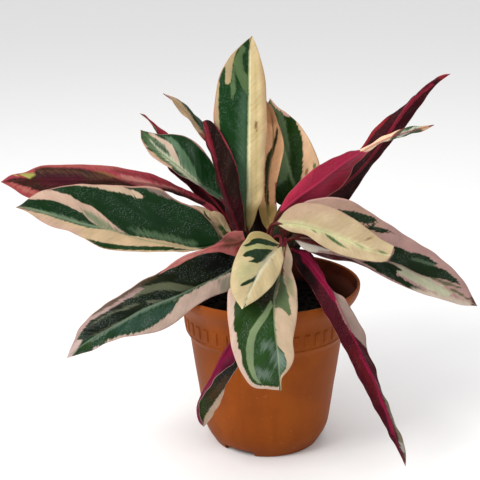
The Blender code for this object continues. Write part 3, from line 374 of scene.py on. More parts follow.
        area("dark", (14, 32, 14), [(133, 300), (140, 297), (150, 295.5), (160, 293.5), (168, 294.5), (176, 296.5), (168, 300), (158, 299.5), (148, 300)], [(84, 331), (92, 325), (100, 320), (110, 315), (120, 311), (130, 310), (140, 309), (130, 315), (118, 321), (105, 327), (95, 332), (86, 338), (80, 341)], soft=0.8, rag=0.8),
        area("mid", (96, 128, 100), [(80, 347), (95, 336.5), (110, 328), (125, 319.5), (140, 310.5), (160, 302), (190, 289.5), (191, 292), (160, 305.5), (140, 314), (125, 323), (110, 331), (95, 339.5), (84, 346)], soft=1.2, rag=1, mix=0.8),
        area("pale", (150, 168, 150), [(80, 348), (110, 329.6), (140, 311.8), (160, 303), (190, 290), (190, 290.8), (160, 304.2), (140, 313.2), (110, 331), (82, 349)], soft=0.8, rag=0.6, mix=0.6),
        area("mid", (66, 100, 86), [(110, 330), (140, 316), (165, 306), (190, 300), (170, 318), (140, 330), (118, 335)], soft=4, rag=3, mix=0.6),
        area("cream", (218, 188, 170), [(106, 342.5), (108, 340), (120, 335.5), (138, 333), (150, 327.5), (160, 321.5), (170, 314), (176, 305), (181, 297), (185, 294), (190, 294), (194, 290), (200, 287), (210, 282), (220, 277), (234, 271), (246, 290), (215, 305), (200, 312), (175, 332), (140, 342), (118, 346)], soft=0.7, rag=1.0),
        area("pale", (136, 138, 112), [(218, 280), (236, 272), (236, 294), (222, 292)], soft=3.5, rag=2, mix=0.75),
        area("cream", (228, 198, 190), [(58, 364), (70, 348), (78, 340), (82, 340), (78, 349), (66, 364)], [(92, 352), (94, 347.6), (106, 344), (112, 342), (112, 352)], soft=1.0, rag=0.5),
        area("green", (52, 84, 50), [(78, 349), (86, 344), (95, 341), (92, 345), (84, 350)], soft=0.9),
    ]),
    "front_small": dict(ground=(216, 194, 148), edge=(206, 186, 140), rib=(236, 236, 200), areas=[
        area("pale", (188, 166, 102), [(244, 226), (272, 226), (285, 244), (262, 240), (246, 243)], soft=5, mix=0.85),
        area("pale", (186, 191, 122), [(244, 246), (262, 243), (274, 247), (270, 250), (255, 249), (246, 252)], soft=1.6, rag=1.2, mix=0.8),
        area("pale", (196, 200, 142), [(240, 262), (258, 263), (262, 262), (252, 278), (240, 286), (236, 276)], soft=4, rag=2, mix=0.5),
        area("green", (44, 68, 58), [(243, 246), (247, 244), (250, 241.5), (254, 238.5), (260, 238), (266, 239.5), (272, 242), (278, 244), (281, 245), (276, 246.3), (270, 246), (264, 244.5), (257, 244), (252, 245), (247, 246.5)],
             [(242, 255.5), (246, 252), (251, 249.8), (257, 248.8), (264, 249), (271, 249.5), (274, 250), (270, 253), (267, 256), (265, 259), (262, 261.5), (257, 263), (252, 262), (248, 261.5), (252, 259.5), (254, 258.5), (249, 257), (245, 257)],
             [(240, 286), (243, 282.5), (247, 280.5), (252, 278.5), (256, 275.5), (259, 272.5), (258, 277), (255, 281), (250, 283), (245, 285.5), (242, 286.5)],
             [(242.6, 309), (244.2, 302), (246.6, 297.5), (249, 294.5), (248, 299), (246, 304), (243.8, 308)],
             [(270, 257.5), (272, 258.3), (273.8, 261), (272, 260.8)], soft=0.45, rag=0.45),
        area("cream", (238, 238, 204), [(276, 252.5), (268, 258.6), (262.5, 267.6), (257.8, 277.6), (252.6, 288.4), (248, 298), (247, 296), (251, 287.6), (256, 276.6), (261, 266.4), (267.4, 257.4)], soft=0.9, rag=0.2, mix=0.6),
        area("cream", (236, 234, 208), [(276, 250), (273, 258), (266, 266), (261, 274), (256, 282), (257, 274), (262, 262), (269, 254)], soft=2.5, rag=0.8, mix=0.45),
    ]),
    "front_hanging": dict(tone=0.93, ground=(46, 82, 32), edge=(230, 186, 166), rib=(170, 190, 140), areas=[
        # Painted shade: the top of the blade, under the crown, darkened to a near-black brown.
        area("dark", (52, 40, 14), [(246, 270), (282, 262), (280, 302), (266, 308), (246, 300)], soft=6, rag=2, mix=0.9),
        area("green", (58, 96, 64), [(270, 315), (276, 330), (281, 352), (282, 384), (262, 383), (255, 372), (253.5, 352), (257, 333), (266, 318)], soft=1.4, mix=0.95),
        area("cream", (232, 202, 182), [(215, 280), (238, 285), (236, 300), (235, 303), (234, 315), (233.5, 328), (235, 332), (237, 333), (238, 348), (241, 351), (242, 360), (244, 368), (248, 376), (252, 382), (257, 385), (270, 386.2), (279, 387.2), (281, 400), (240, 400), (215, 350)], soft=0.6, rag=0.7),
        area("pale", (150, 172, 122), [(271, 300), (273, 306), (268, 316), (262, 325), (257, 333), (254.5, 342), (253.5, 352), (253.5, 362), (255, 372), (258, 379), (263, 384), (258, 383), (253, 378), (249, 370), (246.5, 360), (246, 350), (247, 340), (250, 331), (256, 322), (264, 311)], soft=0.7, rag=0.4),
        area("cream", (224, 194, 162), [(274.4, 300), (274.6, 318), (276.2, 335), (277, 344), (280, 348.5), (284, 354), (286.5, 361), (286, 368), (281, 375), (279.6, 379), (281, 392), (300, 380), (305, 300), (302, 240), (287, 240), (283, 262), (280, 276)], soft=0.6, rag=0.6),
        area("pale", (110, 130, 86), [(282, 262), (284, 270), (283, 280), (286, 288), (289, 296), (289, 303), (291, 309), (291, 315), (289, 316), (286, 312), (281, 308), (275, 308), (275, 300), (278, 293), (279, 285), (280, 275)], soft=0.7, rag=0.8),
        area("pale", (168, 176, 120), [(285, 276), (293, 280), (294, 298), (289, 294)], soft=1.8, rag=1, mix=0.7),
        area("mid", (104, 134, 108), [(276, 345), (280, 349), (284, 354), (286.5, 361), (286, 367), (281, 374), (279, 379), (278, 372), (277.5, 360)], soft=0.9, rag=0.8),
        # Painted highlight: faint whitish gloss blotches on the lower part of the blade.
        area("pale", (176, 196, 186), [(262, 342), (273, 343), (272, 350), (262, 350)], [(272, 350), (285, 354), (284, 368), (274, 366)], [(256, 369), (271, 371), (269, 379), (258, 378)], soft=3.4, rag=3.0, mix=0.36),
        area("dark", (150, 20, 26), [(284, 240), (288, 240), (286.5, 247), (283.8, 262), (282.4, 275), (280.6, 275), (281.6, 262), (283, 247)], soft=0.9, rag=0.3),
    ]),
    "front_low_folded": dict(tone=0.94, ground=(58, 54, 3), edge=(226, 190, 176), rib=(90, 90, 40),
                             behind={"ground": (140, 24, 66), "dark": (92, 16, 46), "green": (120, 22, 58), "cream": (156, 30, 74)}, areas=[
        # Painted shade: the upper part of the blade, beside and under front_hanging, darkened.
        area("dark", (28, 18, 8), [(240, 350), (240, 372), (224, 388), (214, 388), (222, 366)], soft=5, mix=0.95),
        area("dark", (104, 58, 4), [(224, 376), (230, 376), (214, 398), (208, 398)], soft=3, mix=0.7),
        area("green", (60, 92, 26), [(196, 402), (204, 398), (206, 412), (204, 428), (196, 420)], soft=3.5, mix=0.9),
        area("cream", (218, 188, 160), [(203, 425), (204.5, 417), (208, 411), (213, 404), (217, 398), (222, 391), (240, 372), (240, 400), (216, 425), (206, 432)], soft=0.6, rag=0.5),
    ]),
    "right_hanging": dict(ground=(84, 14, 29), edge=(138, 26, 44), rib=(160, 34, 70), areas=[
        # Painted shade: the base of the blade, where it passes under right_broad, darkened to near black.
        area("dark", (16, 6, 8), [(286, 248), (298, 250), (314, 272), (318, 294), (300, 280)], soft=5, mix=0.9),
        area("green", (118, 36, 42), [(352, 344), (370, 372), (384, 404), (378, 404), (362, 372), (350, 352)], soft=3, rag=1.5, mix=0.85),
        area("cream", (152, 26, 66), [(299, 250), (308, 253), (317, 265), (326, 278), (334, 290), (339, 302), (341.5, 312), (336, 304), (328, 294.5), (320, 282.5), (312, 272), (303, 262)], soft=1.0, rag=0.4),
        area("cream", (182, 156, 144), [(333, 289), (344, 294), (352, 300), (362, 318), (372, 336), (369, 352), (360, 341.5), (352, 333.5), (345, 322.5), (340, 311.5), (336, 302)], soft=0.6, rag=0.4),
        area("cream", (156, 34, 72), [(357, 350), (368, 366), (377, 382), (381.6, 398), (387.6, 410), (393, 425), (394.6, 436), (391.4, 434), (385, 412), (378.8, 398), (374.4, 382), (365, 367)], soft=1.0, rag=0.3, mix=0.9),
        area("pale", (150, 140, 112), [(381, 390), (390, 398), (398, 416), (406, 434), (410, 456), (405, 460), (400.5, 444), (394, 426), (387, 408)], soft=0.8, rag=0.5, mix=0.95),
        area("cream", (196, 190, 180), [(398.6, 441), (403, 443), (405.6, 452), (403, 453)], soft=0.9, mix=0.9),
    ]),
    "right_broad": dict(tone=0.92, ground=(203, 160, 152), edge=(214, 168, 156), rib=(196, 176, 152), areas=[
        area("cream", (206, 166, 138), [(293, 198), (350, 196), (385, 222), (380, 240), (330, 215), (300, 215)], soft=6, mix=0.6),
        area("green", (34, 55, 38), [(337, 209.5), (345, 211), (355, 211.5), (363, 214), (370, 215.5), (375, 219), (380, 221.5), (375, 222.5), (375, 224.5), (370, 223.5), (363, 223.5), (358, 222), (350, 217)],
             [(364, 225.5), (372, 226), (380, 227.5), (388, 230), (396, 234), (388, 233), (380, 233), (374, 231), (368, 229)],
             [(387, 262), (390, 258), (394, 252), (394, 247), (400, 247.5), (405, 250.5), (412, 252.5), (420, 254), (428, 257), (435, 261.5), (437, 264), (432, 264.5), (440, 268.5), (446, 270), (450, 274), (457, 280), (460, 284.5), (455, 283), (448, 281), (440, 278.5), (430, 277.5), (420, 274.5), (412, 271), (400, 265), (392, 262)],
             [(358, 261), (365, 261.5), (380, 262.5), (388, 262), (396, 266), (404, 271), (397, 272), (396, 275), (402, 278), (410, 283), (420, 288), (428, 292), (420, 291.5), (412, 290), (400, 283.5), (390, 278), (380, 273), (370, 268)], soft=0.5, rag=0.8),
        area("pale", (110, 132, 104), [(411, 257.5), (420, 259), (437, 265), (436, 267), (420, 262.5), (411, 260)], soft=1.0, rag=0.5, mix=0.6),
        area("mid", (110, 114, 74), [(430, 278), (440, 279), (452, 284), (461, 288.5), (455, 287), (448, 286), (440, 283)], [(450, 288), (460, 292), (471, 300), (468, 300.5), (458, 294), (450, 290)], soft=0.8, rag=0.8, mix=0.9),
        area("cream", (224, 206, 186), [(412, 287), (430, 292), (452, 297), (474, 304), (474, 312), (440, 304), (414, 296)], soft=2.2, rag=1.0, mix=0.9),
        area("pale", (214, 212, 180), [(392, 262.5), (402, 267), (415, 273), (430, 279), (445, 287), (452, 294), (448, 297), (440, 295), (425, 288), (412, 281), (402, 276), (397, 271), (404, 271)], soft=0.8, rag=0.7),
        area("cream", (232, 222, 206), [(290, 238), (305, 243), (318, 246), (331, 249.5), (325, 256), (309, 256), (296, 250)], soft=0.8, rag=0.3),
        area("dark", (86, 34, 40), [(310, 252), (322, 252.4), (340, 252.4), (352, 257.2), (365, 265), (376, 271.4), (374, 275), (350, 266), (335, 264), (322, 262), (310, 258)], soft=0.9, rag=0.3),
        area("cream", (200, 160, 150), [(318, 249.8), (327, 251.4), (340, 254), (351, 256.4), (362, 262.2), (376, 269.4), (376, 271.4), (362, 264.6), (350, 258.6), (340, 256), (327, 253.6), (318, 252)], soft=0.5, rag=0.2),
        # A red-brown band near the base, for an underside and petioles seen there: partly their own colour, partly
        # painted shade.
        area("dark", (116, 40, 38), [(277, 222), (306, 228), (330, 240), (352, 253), (345, 253.6), (330, 250), (318, 246), (308, 243.6), (300, 241), (290, 240), (283, 233)], soft=1.0, rag=0.3),
        area("pale", (110, 66, 44), [(470, 296), (482, 300), (482, 312), (472, 308)], soft=2.0),
    ]),
    "right_cream": dict(ground=(208, 184, 144), edge=(206, 168, 140), rib=(222, 222, 168), areas=[
        area("cream", (200, 166, 138), [(275, 205), (310, 196), (345, 205), (350, 216), (320, 214), (290, 220)], soft=6, mix=0.85),
        area("cream", (224, 222, 172), [(280, 222), (300, 221), (330, 231), (352, 240), (372, 249), (370, 252), (345, 243), (325, 235), (300, 228), (280, 226)], soft=3, rag=0.6, mix=0.8),
        area("mid", (98, 132, 74), [(311, 229), (315, 230.5), (318, 234), (314, 232.5)], [(324, 233), (330, 235.5), (336, 240), (343, 244.5), (349, 249.5), (341, 246.5), (333, 242), (327, 237)],
             [(354, 242.5), (360, 245), (365, 248), (369, 250), (362, 248.5), (357, 245.5)], [(377, 249.5), (384, 251.6), (388, 254), (383, 255)], soft=0.7, rag=0.4, mix=0.85),
        area("dark", (56, 84, 58), [(326, 235), (331, 237.4), (337, 241.6), (345, 247.6), (338, 244), (331, 239.6)], [(355, 243), (361, 246), (367, 249.6), (361, 247.8)], soft=0.7, rag=0.2, mix=0.8),
        area("pale", (150, 112, 70), [(365.6, 241), (368, 238.5), (374.4, 236), (371, 238.6)], soft=0.7, mix=0.8),
    ]),
    # tone above 1: painted light.
    "right_magenta": dict(tone=1.22, ground=(168, 41, 70), edge=(192, 138, 122), rib=(186, 62, 92), areas=[
        area("green", (128, 26, 42), [(316, 206), (332, 182), (352, 160), (364, 160), (352, 192), (330, 206)], soft=6, rag=2, mix=0.9),
        area("green", (130, 32, 54), [(304, 190), (318, 165), (345, 148), (364, 142), (362, 154), (346, 168), (326, 180)], soft=4, rag=1, mix=0.85),
        area("green", (132, 30, 50), [(280, 212), (290, 198), (300, 192), (300, 202), (290, 216)], soft=3, rag=2, mix=0.6),
        area("green", (140, 34, 56), [(290, 200), (298, 188), (308, 176), (316, 172), (312, 188), (300, 200)], soft=3, rag=1, mix=0.6),
        area("cream", (226, 192, 158), [(358, 146), (372, 140), (385, 134), (396, 127), (402, 128), (397, 132), (393, 136), (390, 140), (395, 144), (380, 148), (366, 152), (360, 151)], soft=0.7, rag=0.6),
        area("mid", (58, 88, 76), [(389, 141), (394, 134), (403, 129), (414, 124), (424, 122), (424, 130), (410, 138), (395, 146)], soft=0.9, rag=0.8),
        area("pale", (196, 196, 178), [(396, 138), (404, 131.6), (414, 127), (424, 124.4), (424, 126), (412, 130), (402, 136)], soft=0.7, rag=1.2, mix=0.85),
        area("cream", (196, 166, 126), [(420, 121), (431, 120), (431, 128), (422, 131)], soft=1.4),
        area("pale", (96, 60, 40), [(430, 122), (438, 122), (438, 128), (430, 128)], soft=1.2),
    ]),
    # tone above 1: painted light.
    "far_right_maroon": dict(tone=1.1, ground=(64, 15, 23), edge=(150, 36, 48), rib=(150, 42, 60), areas=[
        # Painted shade: darker where the blade lies under right_magenta.
        area("dark", (38, 8, 12), [(340, 210), (348, 160), (372, 158), (378, 168), (356, 205)], soft=6, mix=0.9),
        area("cream", (152, 42, 62), [(388, 134), (392, 127), (399, 116), (405, 107), (411, 100), (420, 92), (432, 83), (434, 84.6), (421, 95), (413, 103), (407, 110), (401, 118), (394, 128), (390, 135)], soft=1.0, rag=0.4),
        area("cream", (158, 44, 52), [(358, 150), (370, 130), (386, 115), (390, 116), (386, 121), (374, 134), (364, 149)], soft=1.1, rag=0.5, mix=0.9),
        area("green", (160, 46, 50), [(436, 70), (452, 70), (454, 78), (440, 80)], soft=3),
    ]),
    # tone above 1: painted light.
    "back_right_high": dict(tone=1.35, ground=(33, 62, 22), edge=(206, 168, 140), rib=(130, 150, 105), areas=[
        area("mid", (108, 132, 92), [(268, 100), (274, 106), (281, 112), (284, 118), (287, 130), (290, 150), (289, 170), (286, 180), (278, 185), (279, 160), (284, 145), (277, 115)], soft=2.0, rag=1, mix=0.8),
        area("mid", (116, 138, 98), [(282, 148), (284.4, 150), (290, 168), (296, 185), (293, 186), (287, 168)], soft=1.2, mix=0.8),
        area("cream", (208, 170, 134), [(283, 111), (290, 114), (296, 121), (301, 133), (303.5, 148), (303, 160), (302, 175), (298, 195), (330, 200), (340, 150), (312, 118), (290, 106)], soft=0.7, rag=1.0),
        area("cream", (210, 170, 150), [(266, 94), (273, 97), (281, 103), (290, 111), (290, 117), (285, 116), (281, 111), (278, 110), (272, 104)], soft=0.8, rag=0.5),
        area("mid", (96, 118, 74), [(312.5, 162), (315, 161.5), (317, 167), (313, 170)], soft=0.7),
        area("pale", (150, 102, 66), [(304.6, 168), (308, 168), (308.6, 176), (305.6, 176)], soft=0.9),
    ]),
    # tone above 1: painted light.
    "center_cream": dict(tone=1.35, ground=(206, 158, 116), edge=(206, 150, 116), rib=(180, 160, 100), areas=[
        area("cream", (168, 118, 82), [(256, 96), (275, 98), (280, 122), (256, 128)], soft=4, mix=0.85),
        area("green", (42, 48, 15), [(277, 127), (278.5, 133), (276, 145), (272, 158), (269, 172), (268.5, 185), (269, 200), (270, 210), (271, 218), (268, 214), (266, 205), (264.5, 195), (265, 180), (265, 165), (267.4, 155), (272.4, 146), (276, 134)], soft=0.6, rag=0.5),
        area("pale", (152, 132, 70), [(256, 205), (280, 205), (278, 240), (262, 240)], soft=4, mix=0.8),
        area("dark", (150, 40, 70), [(275.2, 182), (280, 182), (280, 204), (274.6, 204)], soft=0.8, rag=0.3),
    ]),
    "left_tip_small": dict(ground=(190, 160, 124), edge=(200, 150, 126), rib=(206, 190, 150), areas=[
        area("green", (60, 78, 42), [(216, 222), (224, 226), (230, 236), (224, 236)], soft=1.4),
    ]),
}
FOLD_MARKS = {
    "lower_left": dict(ground=(186, 104, 100), edge=(206, 128, 116), rib=(172, 82, 78), areas=[
        area("mid", (108, 74, 54), [(224, 238), (240, 237), (246, 243), (234, 248), (224, 247)], soft=3, rag=1.2, mix=0.85),
        area("green", (150, 40, 48), [(236, 247), (248, 242), (248, 252), (236, 256)], soft=2.5, mix=0.85),
        area("cream", (212, 150, 140), [(155, 280), (157, 270), (184, 250), (204, 246), (204, 252), (180, 262)], soft=2.5, mix=0.7),
    ]),
}
# The crown sheaths. Their two dark areas are painted shade: near black over their lower part, and over the gap at the
# back of the crown.
CROWN_MARKS = dict(ground=(88, 14, 22), edge=(140, 46, 44), rib=(120, 30, 36), areas=[
    area("dark", (26, 8, 8), [(225, 236), (320, 236), (320, 275), (225, 275)], soft=16, rag=2, mix=0.95),
    area("dark", (40, 14, 10), [(248, 205), (268, 200), (270, 240), (250, 240)], soft=5, rag=1, mix=0.9),
    area("cream", (142, 26, 40), [(280, 208), (292, 208), (292, 232), (282, 236)], soft=4, rag=1.5, mix=0.7),
])
for crown in ("crown_right", "crown_far", "crown_side", "crown_left"):
    FOLD_MARKS[crown] = CROWN_MARKS
# What the far side of a blade shows behind each kind of area.
BEHIND_UPPER = {"ground": (74, 15, 31), "green": (74, 15, 31), "dark": (58, 11, 24), "mid": (108, 30, 50), "pale": (146, 64, 78), "cream": (186, 98, 104)}
BEHIND_EDGE, BEHIND_RIB = (178, 84, 88), (150, 54, 66)

# Blades that the front doesn't show, and the upper faces of those that show their underside, are marked by rule,
# with outlines in the blade's own plan: 0 to 100 from base to tip, and -30 to 30 across it.
PLAN_LENGTH, PLAN_HALF = 100.0, 30.0


def plan_marks(seed):
    rng = random.Random(seed)
    side = rng.choice((-1, 1))
    far = 40 * side
    reach = rng.uniform(0.45, 0.8)
    cream = [(-5, 1.0 * side), (100 * reach, 0.6 * side)]
    x = 100 * reach
    for k in range(3):
        x = min(x + rng.uniform(4, 12), 100)
        cream.append((x, side * (6 + 7 * k + rng.uniform(-2, 2))))
        cream.append((x - rng.uniform(2, 6), side * (9 + 7 * k)))
    cream += [(100, far), (-5, far)]
    bars, greens, hazes = [], [], []
    for k in range(rng.randint(3, 5)):
        start = rng.uniform(4, 82)
        wide = rng.uniform(2.0, 6.5)
        lean = rng.uniform(12, 18)
        bars.append([(start, -1.5 * side), (start + lean * 0.55, -12 * side), (start + lean, -24 * side), (start + lean + wide * 1.6, -34 * side),
                     (start + lean * 0.7 + wide, -16 * side), (start + wide, -3 * side)])
    for k in range(rng.randint(3, 6)):
        start = rng.uniform(2, 70)
        wide = rng.uniform(1.6, 5.0)
        lean = rng.uniform(11, 17)
        greens.append([(start, 1.0 * side), (start + lean * 0.5, 11 * side), (start + lean, rng.uniform(18, 27) * side), (start + lean * 0.6 + wide, 13 * side), (start + wide, 2.0 * side)])
    for k in range(4):
        start = rng.uniform(0, 80)
        lean = 14
        hazes.append([(start, -0.5 * side), (start + lean, -16 * side), (start + lean + 7, -15 * side), (start + 9, -0.5 * side)])
    return [
        area("mid", (96, 130, 88), *hazes, soft=1.6, rag=1.0, mix=0.85),
        area("cream", (220, 194, 152), cream, soft=0.8, rag=0.9),
        area("cream", (216, 184, 158), *bars, soft=0.7, rag=0.8),
        area("green", (40, 74, 42), *greens, soft=0.6, rag=0.8),
        area("cream", (218, 170, 152), [(-5, 27 * side), (100, 27 * side), (100, far), (-5, far)], soft=3.5, rag=0.5, mix=0.7),
    ]


def plan_set(seed):
    return dict(ground=(28, 64, 36), edge=(216, 166, 148), rib=(140, 160, 112), areas=plan_marks(seed))


# ---------------------------------------------------------------------------------------------------------------
# Curves and blades


def smooth(knots, values, where):
    """A smooth curve through values at knots, read at where."""
    k, v = np.asarray(knots, float), np.asarray(values, float)
    if v.ndim == 1:
        v = v[:, None]
    slope = np.empty_like(v)
    slope[0], slope[-1] = (v[1] - v[0]) / (k[1] - k[0]), (v[-1] - v[-2]) / (k[-1] - k[-2])
    for i in range(1, len(k) - 1):
        a, b = k[i] - k[i - 1], k[i + 1] - k[i]
        slope[i] = ((v[i] - v[i - 1]) / a * b + (v[i + 1] - v[i]) / b * a) / (a + b)
    where = np.asarray(where, float)
    i = np.clip(np.searchsorted(k, where, side="right") - 1, 0, len(k) - 2)
    h = (k[i + 1] - k[i])[:, None]
    x = ((where - k[i]) / (k[i + 1] - k[i]))[:, None]
    return (
        (1 + 2 * x) * (1 - x) ** 2 * v[i]
        + x * (1 - x) ** 2 * h * slope[i]
        + x**2 * (3 - 2 * x) * v[i + 1]
        + x**2 * (x - 1) * h * slope[i + 1]
    )


def along(points, shares):
    """Points at these shares of the length of a smooth curve through points."""
    points = np.asarray(points, float)
    steps = np.sqrt(np.linalg.norm(np.diff(points, axis=0), axis=1))
    knots = np.concatenate([[0.0], np.cumsum(steps)])
    fine = np.linspace(0, knots[-1], 900)
    curve = smooth(knots, points, fine)
    run = np.concatenate([[0.0], np.cumsum(np.linalg.norm(np.diff(curve, axis=0), axis=1))])
    at_share = np.asarray(shares) * run[-1]
    return np.stack([np.interp(at_share, run, curve[:, j]) for j in range(curve.shape[1])], axis=-1)


def unit(v):
    return v / np.maximum(np.linalg.norm(v, axis=-1, keepdims=True), 1e-12)


def blade_rails(leaf, shares, least=0.25):
    """The left margin, the midrib and the right margin as points in space."""
    near = smooth(*zip(*leaf["near"]), shares)[:, 0]
    bow = np.sqrt(np.clip(4 * shares * (1 - shares), 0, 1))
    rails = []
    for side, lift in (("left", leaf["lift"][0]), ("mid", 0.0), ("right", leaf["lift"][1])):
        sheet = along(leaf[side], shares)
        rails.append(at(sheet[:, 0], sheet[:, 1], near + lift * bow))
    left, mid, right = rails
    middle = len(shares) // 2
    for edge in (left, right):
        for order in (range(middle, len(shares)), range(middle, -1, -1)):
            way = unit(edge[middle] - mid[middle])
            for i in order:
                out = edge[i] - mid[i]
                wide = np.linalg.norm(out)
                if wide < least:
                    edge[i] = mid[i] + way * least
                else:
                    way = out / wide
    return left, mid, right


def inside_by(points, outline):
    """How far each point lies inside an outline: negative outside it."""
    poly = np.asarray(outline, float)
    a, b = poly, np.roll(poly, -1, axis=0)
    px, py = points[:, 0][:, None], points[:, 1][:, None]
    ax, ay, bx, by = a[:, 0], a[:, 1], b[:, 0], b[:, 1]
    ex, ey = bx - ax, by - ay
    share = np.clip(((px - ax) * ex + (py - ay) * ey) / np.maximum(ex**2 + ey**2, 1e-9), 0, 1)
    away = np.sqrt((px - ax - share * ex) ** 2 + (py - ay - share * ey) ** 2).min(axis=1)
    crosses = ((ay > py) != (by > py)) & (px < ex * (py - ay) / np.where(np.abs(ey) < 1e-9, 1e-9, ey) + ax)
    inside = crosses.sum(axis=1) % 2 == 1
    return np.where(inside, away, -away)


def areas_at(areas, points):
    """For each area, how far the points lie inside it, held to 15 units each way."""
    out = []
    for a in areas:
        deep = np.max([inside_by(points, o) for o in a["outlines"]], axis=0)
        out.append(np.clip(deep, -15, 15))
    return out


def column_places(count):
    half = np.linspace(0, 1, count // 2 + 1)
    half = 0.35 * half**1.6 + 0.65 * half
    half = half - 0.06 * np.sin(math.pi * half) * half
    return np.concatenate([-half[::-1], half[1:]])


def blade_surface(leaf, seed, rows, columns):
    """The blade's middle surface with its groove, its ripples between the veins and its waved margins."""
    even = np.linspace(0, 1, rows)
    shares = 0.72 * even + 0.28 * (0.5 - 0.5 * np.cos(math.pi * even))
    t = column_places(columns)
    left, mid, right = blade_rails(leaf, shares)
    tangent = unit(np.gradient(mid, axis=0))
    up = unit(np.cross(right - left, tangent))
    grid = np.empty((rows, len(t), 3))
    wide = np.empty((rows, len(t)))
    for j, x in enumerate(t):
        edge = left if x < 0 else right
        half = edge - mid
        size = np.linalg.norm(half, axis=1)
        rise = BLADE_ARCH * 4 * abs(x) * (1 - abs(x)) * size
        grid[:, j] = mid + half * abs(x) + up * rise[:, None]
        wide[:, j] = abs(x) * size
    normal = unit(np.cross(np.gradient(grid, axis=1), np.gradient(grid, axis=0)))
    run = np.concatenate([[0.0], np.cumsum(np.linalg.norm(np.diff(mid, axis=0), axis=1))])
    length = run[-1]
    rng = random.Random(seed)
    phase = [rng.uniform(0, 2 * math.pi) for _ in range(6)]
    q = run[:, None] - 1.05 * wide
    T = np.abs(t)[None, :] * np.ones((rows, 1))
    S = shares[:, None] * np.ones((1, len(t)))
    ends = np.clip(np.minimum(S, 1 - S) * 7, 0, 1)
    ripple = 0.16 * np.sin(2 * math.pi * q / 4.6 + phase[0]) * np.clip(wide / 3, 0, 1) * (1 - T**4)
    ripple += 0.05 * np.sin(2 * math.pi * q / 2.9 + phase[1]) * np.clip(wide / 3, 0, 1) * (1 - T**4)
    billow = 0.45 * np.sin(2 * math.pi * q / 21 + phase[2]) * np.sin(math.pi * T)
    sides = np.sign(t)[None, :]
    wave = (0.55 * np.sin(2 * math.pi * run[:, None] / 27 + phase[3] + sides) + 0.3 * np.sin(2 * math.pi * run[:, None] / 13 + phase[4] - 2 * sides)) * T**3
    groove = -0.42 * np.exp(-((wide / 0.9) ** 2)) + 0.16 * np.exp(-(((wide - 2.0) / 1.1) ** 2))
    grid = grid + normal * ((ripple + billow + wave) * ends + groove * np.clip((1 - S) * 3, 0, 1))[:, :, None]
    normal = unit(np.cross(np.gradient(grid, axis=1), np.gradient(grid, axis=0)))
    return dict(grid=grid, normal=normal, shares=shares, t=t, wide=wide, q=q, length=length, S=S, T=T)


def blade_mesh(name, surf, fields, rib=0.55):
    """A closed thin shell. fields are numbers for each point of the surface, kept as attributes."""
    grid, normal, t = surf["grid"], surf["normal"], surf["t"]
    rows, cols = grid.shape[:2]
    thick = 0.17 * (1 - 0.45 * surf["T"] ** 6)
    keel = rib * np.exp(-((surf["wide"] / 0.85) ** 2)) * (1 - 0.8 * surf["S"])
    top = (grid + normal * thick[..., None]).reshape(-1, 3)
    low = (grid - normal * (thick + keel)[..., None]).reshape(-1, 3)
    points = np.concatenate([top, low]) * MM
    below = rows * cols
    faces, side = [], []
    for i in range(rows - 1):
        for j in range(cols - 1):
            a = i * cols + j
            faces.append((a, a + 1, a + cols + 1, a + cols))
            side.append(0)
            faces.append((a + cols + below, a + cols + 1 + below, a + 1 + below, a + below))
            side.append(1)
    ring = (
        [(0, j) for j in range(cols)]
        + [(i, cols - 1) for i in range(1, rows)]
        + [(rows - 1, j) for j in range(cols - 2, -1, -1)]
        + [(i, 0) for i in range(rows - 2, 0, -1)]
    )
    for (i, j), (k, m) in zip(ring, ring[1:] + ring[:1]):
        a, b = i * cols + j, k * cols + m
        faces.append((b, a, a + below, b + below))
        side.append(0)
    mesh = bpy.data.meshes.new(name)
    mesh.from_pydata([tuple(p) for p in points], [], faces)
    mesh.update()
    mesh.polygons.foreach_set("material_index", np.array(side, np.int32))
    mesh.polygons.foreach_set("use_smooth", np.ones(len(faces), bool))
    uv = mesh.uv_layers.new(name="leaf")
    place = np.stack([surf["S"].ravel(), (0.5 + 0.5 * (t[None, :] * np.ones((rows, 1)))).ravel()], -1)
    # Upper and lower faces have their own halves of the map.
    both = np.concatenate([place * [1, 0.49], place * [1, 0.49] + [0, 0.5]])
    loops = np.empty(len(mesh.loops), np.int32)
    mesh.loops.foreach_get("vertex_index", loops)
    uv.data.foreach_set("uv", both[loops].astype(np.float32).ravel())
    for key, values in fields.items():
        made = mesh.attributes.new(key, "FLOAT", "POINT")
        flat = np.asarray(values, np.float32).ravel()
        made.data.foreach_set("value", np.concatenate([flat, flat]))
    vein = np.stack([surf["q"].ravel(), surf["wide"].ravel() * np.sign(t[None, :] * np.ones((rows, 1))).ravel(), surf["S"].ravel() * surf["length"]], -1)
    made = mesh.attributes.new("vein", "FLOAT_VECTOR", "POINT")
    made.data.foreach_set("vector", np.concatenate([vein, vein]).astype(np.float32).ravel())
    rim = mesh.attributes.new("rim", "FLOAT", "POINT")
    flat = surf["T"].astype(np.float32).ravel()
    rim.data.foreach_set("value", np.concatenate([flat, flat]))
    obj = bpy.data.objects.new(name, mesh)
    bpy.context.scene.collection.objects.link(obj)
    return obj


# ---------------------------------------------------------------------------------------------------------------
# Materials


